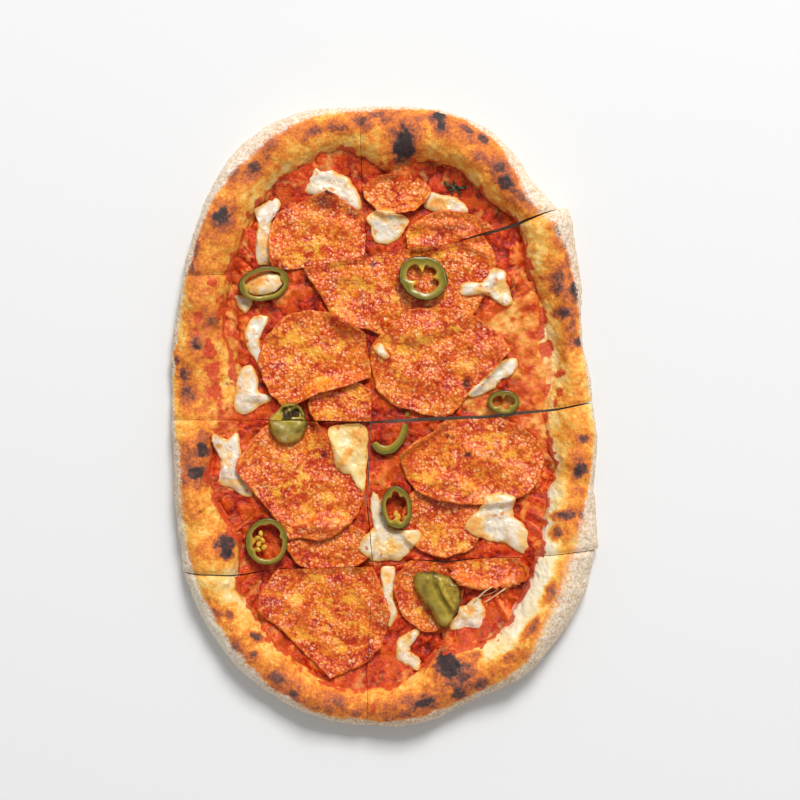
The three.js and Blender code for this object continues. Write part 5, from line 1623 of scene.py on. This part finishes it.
def make_ring(ring):
    bpy.ops.object.select_all(action="DESELECT")
    bpy.ops.mesh.primitive_torus_add(
        major_segments=RING_AROUND, minor_segments=RING_SECTION, major_radius=1, minor_radius=0.3)
    piece = bpy.context.object
    round_points = read_points(piece) * MM
    angle = np.arctan2(round_points[:, 1], round_points[:, 0])
    section = np.arctan2(round_points[:, 2], np.hypot(round_points[:, 0], round_points[:, 1]) - 1)
    points, inwards, wall = ring_points(angle, section, ring)
    points += 0.12 * shaken(points, 2.5, (71, 72, 73))
    for axis, degrees in zip("zxy", (ring["turn"], *ring["lean"])):
        points = turned(points, axis, degrees)
    points = settle(points, ring["at"])
    write_points(piece, points)
    paint(piece, "inwards", inwards)
    paint(piece, "pith", smooth(1.0, 3.4, inwards * wall - 0.8 * ring["wall"]))
    return piece, points.mean(axis=0)


def add_seeds(piece, ring, middle):
    """Joins the ring's seeds to it. Their points are painted as pith, so they are golden."""
    seeds = []
    for x, y, turn in ring.get("seeds", []):
        centre = middle + [x, y, -0.6]
        seed = make_oval("seed", centre, (SEED_LENGTH, SEED_WIDTH, SEED_HEIGHT), turn)
        paint(seed, "inwards", 0.9)
        paint(seed, "pith", 0.9)
        seeds.append(seed)
    select_only(piece)
    for seed in seeds:
        seed.select_set(True)
    if seeds:
        bpy.ops.object.join()


def add_filling(piece, ring, middle):
    """Joins the curd that melted into a ring to it, and gives it the second material."""
    own_faces = len(piece.data.polygons)
    across, along = ring["filling"]
    filling = make_oval("filling", middle + [0, 0, -1.5], (across, along, 2.4), ring["turn"])
    points = read_points(filling)
    outwards = points - points.mean(axis=0)
    length = np.linalg.norm(outwards, axis=1)[:, None]
    points += 0.7 * uneven(points, 2.6, 87, 2)[:, None] * outwards / length
    write_points(filling, points)
    paint(filling, "edge", 0.5 + 0.7 * uneven(points, 4, 84))
    paint(filling, "butter", 0.2)
    select_only(piece)
    filling.select_set(True)
    bpy.ops.object.join()
    for face in piece.data.polygons[own_faces:]:
        face.material_index = 1
        face.use_smooth = True


# %% [markdown]
# ### The material of the jalapeno
#
# Pickled and baked, its green went to olive. The outer skin is dark and waxy, a thin bright line
# runs just inside it, the cut flesh is lighter, and the ribs with the seeds are golden.

# %% Jalapeno material
def make_jalapeno_material(name, olives):
    pepper = new_material(name)
    place = add(pepper, "ShaderNodeTexCoord", out="Object")
    inwards = add(pepper, PAINTED, attribute_name="inwards", out="Fac")
    pith = add(pepper, PAINTED, attribute_name="pith", out="Fac")
    flesh = add(pepper, NOISE, {0: place, "Scale": 1 / (2.4 * MM), "Detail": 3})
    shade = add(pepper, MATH, {0: flesh, 1: 0.3, 2: inwards}, **PLUS)
    wall = add(pepper, RAMP, {0: shade}, stops=olives)
    gold = add(pepper, RAMP, {0: flesh}, stops=[
        (0.38, "#b98a1e"), (0.5, "#dfa82e"), (0.62, "#efc44e"),
    ])
    colour = add(pepper, MIX, {0: pith, 6: wall, 7: gold}, **BLEND)
    bump = add(pepper, BUMP, {"Strength": 0.35, "Distance": 0.35 * MM, "Height": flesh})
    surface = add(pepper, PRINCIPLED, {
        "Base Color": colour, "Roughness": 0.22, "Normal": bump, "IOR": 1.45,
        "Subsurface Weight": 0.15, "Subsurface Scale": 1.5 * MM,
    })
    add(pepper, "ShaderNodeOutputMaterial", {0: surface})
    return pepper


RING_OLIVES = [
    (0.12, "#2b270a"), (0.24, "#4a4312"), (0.32, "#8f8238"), (0.42, "#6c621c"), (0.62, "#8a7a2c"),
    (0.95, "#a38a36"),
]
END_OLIVES = [
    (0.15, "#3c2a1c"), (0.3, "#544418"), (0.5, "#847024"), (0.7, "#aa9436"), (0.9, "#bca650"),
    (1.15, "#d8c896"),
]
jalapeno_material = make_jalapeno_material("pickled jalapeno, cut across", RING_OLIVES)
jalapeno_skin_material = make_jalapeno_material("pickled jalapeno, its waxy skin", END_OLIVES)
for ring in JALAPENO_RINGS:
    piece, middle = make_ring(ring)
    add_seeds(piece, ring, middle)
    filled = "filling" in ring
    finish_piece(piece, f"{ring['name']}_ring", [ring["name"]],
                 [jalapeno_material, mozzarella_material] if filled else [jalapeno_material])
    if filled:
        add_filling(piece, ring, middle)
    print(f"{piece.name}: {len(piece.data.polygons)} faces")

# %% The torn ring, drawn out along its bent line
HOOK_PATH = [
    (12, -3.8, 1.5), (11.4, -8, 2), (9, -13.6, 2.3), (5, -17.6, 2.6), (0.5, -18.8, 2.7),
    (-3.4, -17.4, 2.5), (-5.8, -14.2, 1.8),
]


def curve_through(points, count):
    """A smooth (Catmull-Rom) line through points, as `count` places."""
    knots = np.array([points[0], *points, points[-1]], float)
    place = np.linspace(0, len(points) - 1.0001, count)
    index, part = place.astype(int), (place % 1)[:, None]
    a, b, c, d = (knots[index + k] for k in range(4))
    bend = part * (c - a) + part**2 * (2 * a - 5 * b + 4 * c - d)
    return b + (bend + part**3 * (3 * b - a - 3 * c + d)) / 2


def lay_bent(name, path, height):
    """A torn ring: a ball drawn out along a line and squared to the section of the wall."""
    line = curve_through(path, 200)
    steps = np.hypot(*np.diff(line[:, :2], axis=0).T)
    along = np.concatenate([[0], np.cumsum(steps)])
    ahead = np.gradient(line[:, :2], axis=0)
    ahead /= np.hypot(*ahead.T)[:, None]
    piece, turn, row = ball(name, RING_SECTION, 90)
    place = along[-1] * (1 - np.cos(np.pi * row / 91)) / 2
    blunt = np.clip(np.minimum(place, along[-1] - place) / 0.8, 0, 1) ** 0.5
    x, y, size = (np.interp(place, along, line[:, k]) for k in range(3))
    run_x, run_y = np.interp(place, along, ahead[:, 0]), np.interp(place, along, ahead[:, 1])
    outside, above = squared(turn, 0.5)
    side = outside * size * blunt
    z = (above * blunt + 1) * height / 2
    points = np.column_stack([x + run_y * side, y - run_x * side, z])
    points += 0.12 * shaken(points, 2.5, (74, 75, 76))
    points[:, 2] += np.percentile(sample(surface, points[:, 0], points[:, 1]), 85)
    write_points(piece, points)
    paint(piece, "inwards", (1 + outside) / 2)
    paint(piece, "pith", 0)
    return piece


hook = lay_bent("jalapeno_hook", HOOK_PATH, 4.6)
finish_piece(hook, "jalapeno_hook_ring", ["jalapeno_hook"], [jalapeno_material])

# A scrap of the same ring lies beyond its torn end.
SCRAP_AT, SCRAP_RADII, SCRAP_TURN = (13.2, 1.8), (1.2, 2.1, 0.9), -20
scrap_centre = np.array([*SCRAP_AT, surface_height(*SCRAP_AT)])
scrap = make_oval("scrap", scrap_centre, SCRAP_RADII, SCRAP_TURN)
scrap.data.materials.append(jalapeno_material)
paint(scrap, "inwards", 0.6)
paint(scrap, "pith", 0.1)
select_only(hook)
scrap.select_set(True)
bpy.ops.object.join()
bpy.ops.object.shade_smooth()
print(f"{hook.name}: {len(hook.data.polygons)} faces with the scrap")


# %% The halved end and the folded tip
def lay_pepper_end(name, middle, radius_of, rise, tone, reach):
    parts = lay_sheet(name, middle, radius_of, rise, around=160, top_rows=44, reach=reach)
    for node, part in join_by_node(name, parts).items():
        points = read_points(part)
        outwards = np.arctan2(points[:, 1] - middle[1], points[:, 0] - middle[0])
        share = np.hypot(points[:, 0] - middle[0], points[:, 1] - middle[1]) / radius_of(outwards)
        inwards, pith = tone(points, share)
        paint(part, "inwards", inwards)
        paint(part, "pith", pith)
        finish_piece(part, f"{node}_end", [node], [jalapeno_skin_material])


CUT_END_BULGES = [(132, 26, -2.2), (66, 14, 0.5), (20, 12, -0.8)]


def cut_end_radius(angle):
    oval = 1 / np.hypot(np.cos(angle) / 11, np.sin(angle) / 11.8)
    return oval + 0.25 * np.sin(3 * angle) + bulges(CUT_END_BULGES, angle)


def cut_end_rise(x, y, share):
    dome = 1.2 + 5.6 * (1 - np.clip(share, 0, 1) ** 2.6) ** 0.6
    hollow = smooth(0, 1.6, y + 2.6) * (1 - smooth(0.7, 0.92, share)) * smooth(-61, -56.5, x)
    rib = np.exp(-(((x + 52.5) + 0.5 * (y - 2)) / 1.1) ** 2) * smooth(0, 3, y + 1)
    shelf = np.exp(-(((y + 1.6) / 0.8) ** 2)) * (1 - smooth(-57, -55, x))
    return dome - 3.4 * hollow * (1 - 0.6 * rib) + 0.9 * shelf + 0.3 * uneven_plan(x, y, 3.4, 78)


# Painted highlights, lines of light reflected on the wet inside: each (x, y, x, y, half width,
# strength).
CUT_END_GLEAMS = [
    (-55, 3.2, -48.8, 6.2, 0.9, 1.0), (-47.4, 5, -47, 0, 0.5, 0.9),
    (-51.6, -0.6, -45, -0.4, 0.5, 0.9),
]


def cut_end_tone(points, share):
    """Olive on the closed dome; above the cut a hollow, painted dark as shade, between a pale wall
    and a rib.
    """
    x, y = points[:, :2].T
    inwards = 0.62 + 0.3 * uneven(points, 4, 77, 2) - 0.3 * smooth(0.82, 1.0, share)
    above = smooth(0, 1.2, y + 2.4)
    # Painted shade darkens the hollow, and painted highlights run across it.
    hollow = above * (1 - smooth(0.76, 0.9, share)) * smooth(-58, -56, x)
    gleam = fold_height(CUT_END_GLEAMS, x, y) * hollow
    pale = above * (1 - smooth(-59, -57, x)) * (1 - smooth(0.8, 0.95, share))
    low = (1 - smooth(-13, -8, y)) * (1 - smooth(0.9, 1.0, share))
    return inwards * (1 - 0.96 * hollow) + 0.9 * gleam, 0.3 * pale + 0.4 * low


TIP_CORNERS = [
    (16.5, -89.5), (19.5, -87), (27.5, -86.5), (31.5, -88), (36, -89), (41.5, -95.5), (44, -104),
    (41.5, -109), (38, -114), (36, -120), (32.5, -120), (29, -114), (22.5, -105), (17, -96.5),
]
TIP_MIDDLE = (30.5, -99.5)


def tip_crease(x, y):
    """How far a place lies from the wandering crease between the two lobes, to the right."""
    bend = 1.2 * np.sin((y + 104) / 5)
    return (x - 34 + bend) * np.sin(np.radians(70)) + (y + 104) * np.cos(np.radians(70))


def tip_rise(x, y, share):
    dome = 1.6 + 7.0 * (1 - np.clip(share, 0, 1) ** 2.4) ** 0.7
    off = tip_crease(x, y)
    crease = 2.4 * np.exp(-((off / 1.5) ** 2)) + 0.9 * np.exp(-(((off - 4.2) / 1.1) ** 2))
    folds = 0.6 * uneven_plan(x, y, 5, 79) + 0.25 * uneven_plan(x, y, 2.2, 80)
    return dome - crease * (1 - np.clip(share, 0, 1) ** 4) + folds


def tip_tone(points, share):
    """A smooth olive lobe at the left of the crease and a yellower one at its right."""
    x, y = points[:, :2].T
    off = tip_crease(x, y)
    # Painted shade: the points along the crease are made darker.
    inwards = 0.46 + 0.22 * uneven(points, 6, 85, 2) - 0.16 * np.exp(-((off / 1.3) ** 2))
    yellow = 0.4 * smooth(0, 4, off) * (1 - smooth(0.7, 1, share))
    yellow *= 0.6 + 0.6 * uneven(points, 3, 86)
    return inwards - 0.2 * smooth(0.85, 1.0, share), yellow


tip_radius = corner_radius(TIP_CORNERS, TIP_MIDDLE)
lay_pepper_end("jalapeno_cut", (-54, -3.4), cut_end_radius, cut_end_rise, cut_end_tone, 2)
lay_pepper_end("jalapeno_tip", TIP_MIDDLE, tip_radius, tip_rise, tip_tone, 3)
print(f"with the two pepper ends, {len(laid_names)} sheets are laid")

# %% [markdown]
# When the slices were parted, the melted cheese under the lifted flap drew out into strings. Each
# is a thin ball drawn out along a slightly bent line and thinnest in its middle, and all of them
# belong to the pool of cheese that they come from.

# %% Strings of cheese, each from the flap to the pool
STRINGS = [
    ((61.5, -95), (50, -105)), ((58.5, -94), (53, -102)), ((65, -96.5), (55, -101)),
    ((69, -96), (56.5, -105)),
]
STRING_RADIUS, STRING_BEND = 0.6, 0.9


def turn_outwards(piece):
    select_only(piece)
    bpy.ops.object.mode_set(mode="EDIT")
    bpy.ops.mesh.select_all(action="SELECT")
    bpy.ops.mesh.normals_make_consistent(inside=False)
    bpy.ops.object.mode_set(mode="OBJECT")


def lay_string(start, end):
    piece, turn, row = ball("string", 8, 24)
    along = row / 25
    radius = STRING_RADIUS * (1 - 0.5 * np.sin(np.pi * along))
    radius *= np.minimum(1, 8 * np.minimum(along, 1 - along))
    start, end = np.array(start), np.array(end)
    ends = sample(surface, *np.array([start, end]).T)
    run = (end - start) / np.hypot(*(end - start))
    bend = STRING_BEND * np.sin(np.pi * along) * np.sin(start[0])
    plan = start + (end - start) * along[:, None] + bend[:, None] * [-run[1], run[0]]
    side, up = np.cos(turn) * radius, np.sin(turn) * radius
    height = ends[0] + (ends[1] - ends[0]) * along + STRING_BEND * np.sin(np.pi * along) + 0.3
    plan = plan + side[:, None] * [-run[1], run[0]]
    write_points(piece, np.column_stack([plan, height + up]))
    turn_outwards(piece)
    piece.data.materials.append(mozzarella_material)
    paint(piece, "edge", 0.5)
    paint(piece, "butter", 0.3)
    return piece


pool = bpy.data.objects["mozzarella_pool_melted"]
strings = [lay_string(start, end) for start, end in STRINGS]
select_only(pool)
for string in strings:
    string.select_set(True)
bpy.ops.object.join()
select_only(pool)
bpy.ops.object.shade_smooth()
print(f"{len(strings)} strings joined to {pool.name}")

# %% [markdown]
# ## The sprig of herb
#
# A small sprig that scorched to a dark green, by the rim.

# %% Herb
HERB_AT, HERB_STEM, HERB_LEAF_WIDTH, HERB_THICKNESS = (40, 129), 1.3, 15, 0.9
HERB_LEAVES = [(8, 7), (52, 4.4), (98, 5), (150, 7.6), (196, 5), (248, 4), (318, 5.4)]


def herb_radius(angle):
    """A sprig from above: narrow leaves, each (direction, length), out of a small middle."""
    reach = np.full(np.shape(angle), HERB_STEM)
    for direction, length in HERB_LEAVES:
        away = (np.degrees(angle) - direction + 540) % 360 - 180
        reach = np.maximum(reach, length * np.exp(-((away / HERB_LEAF_WIDTH) ** 2)))
    return reach + 0.15 * np.sin(23 * angle)


def make_herb_material():
    herb = new_material("scorched herb leaf")
    place = add(herb, "ShaderNodeTexCoord", out="Object")
    veins = add(herb, NOISE, {0: place, "Scale": 1 / (1.2 * MM), "Detail": 3})
    colour = add(herb, RAMP, {0: veins}, stops=[
        (0.35, "#14190a"), (0.55, "#2f3a16"), (0.7, "#5d5c28"),
    ])
    bump = add(herb, BUMP, {"Strength": 0.6, "Distance": 0.3 * MM, "Height": veins})
    surface = add(herb, PRINCIPLED, {"Base Color": colour, "Roughness": 0.45, "Normal": bump})
    add(herb, "ShaderNodeOutputMaterial", {0: surface})
    return herb


def herb_rise(x, y, share):
    return HERB_THICKNESS + 0 * x


def herb_lift(x, y, share):
    return 1.1 * share * (0.5 + 0.5 * np.sin(1.3 * x + y))


herb_parts = lay_sheet("herb_sprig", HERB_AT, herb_radius, herb_rise, herb_lift,
                       around=200, top_rows=24, reach=1.5)
for node, part in join_by_node("herb_sprig", herb_parts).items():
    finish_piece(part, "herb_leaves", [node], [make_herb_material()])
    print(f"{part.name}: {len(part.data.polygons)} faces")

# %% [markdown]
# ## The studio
#
# The pizza was photographed from straight above on white paper. The light is a bright, soft
# room and one large lamp beyond the far end of the pizza, a little to the right, whose soft
# shadows fall towards the viewer. The room is a white world that is dark straight above, where
# the camera hangs: wet things that lie flat mirror that dark part and keep their deep colour,
# and only what is tilted glints. The camera looks straight down from 1.3 m.

# %% Floor and light
FLOOR_SIZE = 6
SIDE_LIGHT, CEILING_LIGHT, DARK_FROM, DARK_TO = 0.54, 0.1, 0.72, 0.94
LAMP_SIZE, LAMP_POWER = 1.35, 158
LAMP_AT = (0.75, 2.75, 2.9)

bpy.data.objects.remove(knife)
bpy.ops.mesh.primitive_plane_add(size=FLOOR_SIZE)
floor = bpy.context.object
floor.name = "floor"
paper = new_material("matt white paper")
matt = add(paper, PRINCIPLED, {"Base Color": "#ebebeb", "Roughness": 0.9})
add(paper, "ShaderNodeOutputMaterial", {0: matt})
floor.data.materials.append(paper)

world = bpy.data.worlds.new("studio")
bpy.context.scene.world = world
world.use_nodes = True
world.node_tree.nodes.clear()
ahead = add(world, "ShaderNodeTexCoord", out="Generated")
height = add(world, "ShaderNodeSeparateXYZ", {0: ahead}, out="Z")
brightness = add(world, MAP, {0: height, 1: DARK_FROM, 2: DARK_TO, 3: SIDE_LIGHT, 4: CEILING_LIGHT})
room = add(world, "ShaderNodeBackground", {"Color": "#ffffff", "Strength": brightness})
add(world, "ShaderNodeOutputWorld", {0: room})

bpy.ops.object.light_add(type="AREA", location=LAMP_AT)
lamp = bpy.context.object
lamp.name = "window"
lamp.data.size = LAMP_SIZE
lamp.data.energy = LAMP_POWER
lamp.rotation_euler = (-Vector(LAMP_AT)).to_track_quat("-Z", "Y").to_euler()
bpy.context.scene.view_settings.view_transform = "Standard"
print(f"one lamp of {LAMP_POWER} W, {LAMP_SIZE} m wide")

# %% Camera
FRAME_CENTRE = (9.03 * MM, 9.6 * MM)
FRAME_SPAN, CAMERA_HEIGHT, SENSOR_WIDTH = 451.6 * MM, 1.3, 36
FOCUS_HEIGHT = 6 * MM

bpy.ops.object.camera_add(location=(*FRAME_CENTRE, CAMERA_HEIGHT), rotation=(0, 0, 0))
camera = bpy.context.object
camera.name = "camera"
camera.data.sensor_width = SENSOR_WIDTH
camera.data.lens = SENSOR_WIDTH * (CAMERA_HEIGHT - FOCUS_HEIGHT) / FRAME_SPAN
camera.data.clip_start, camera.data.clip_end = 0.05, 20
bpy.context.scene.camera = camera
print(f"lens {camera.data.lens:.0f} mm")
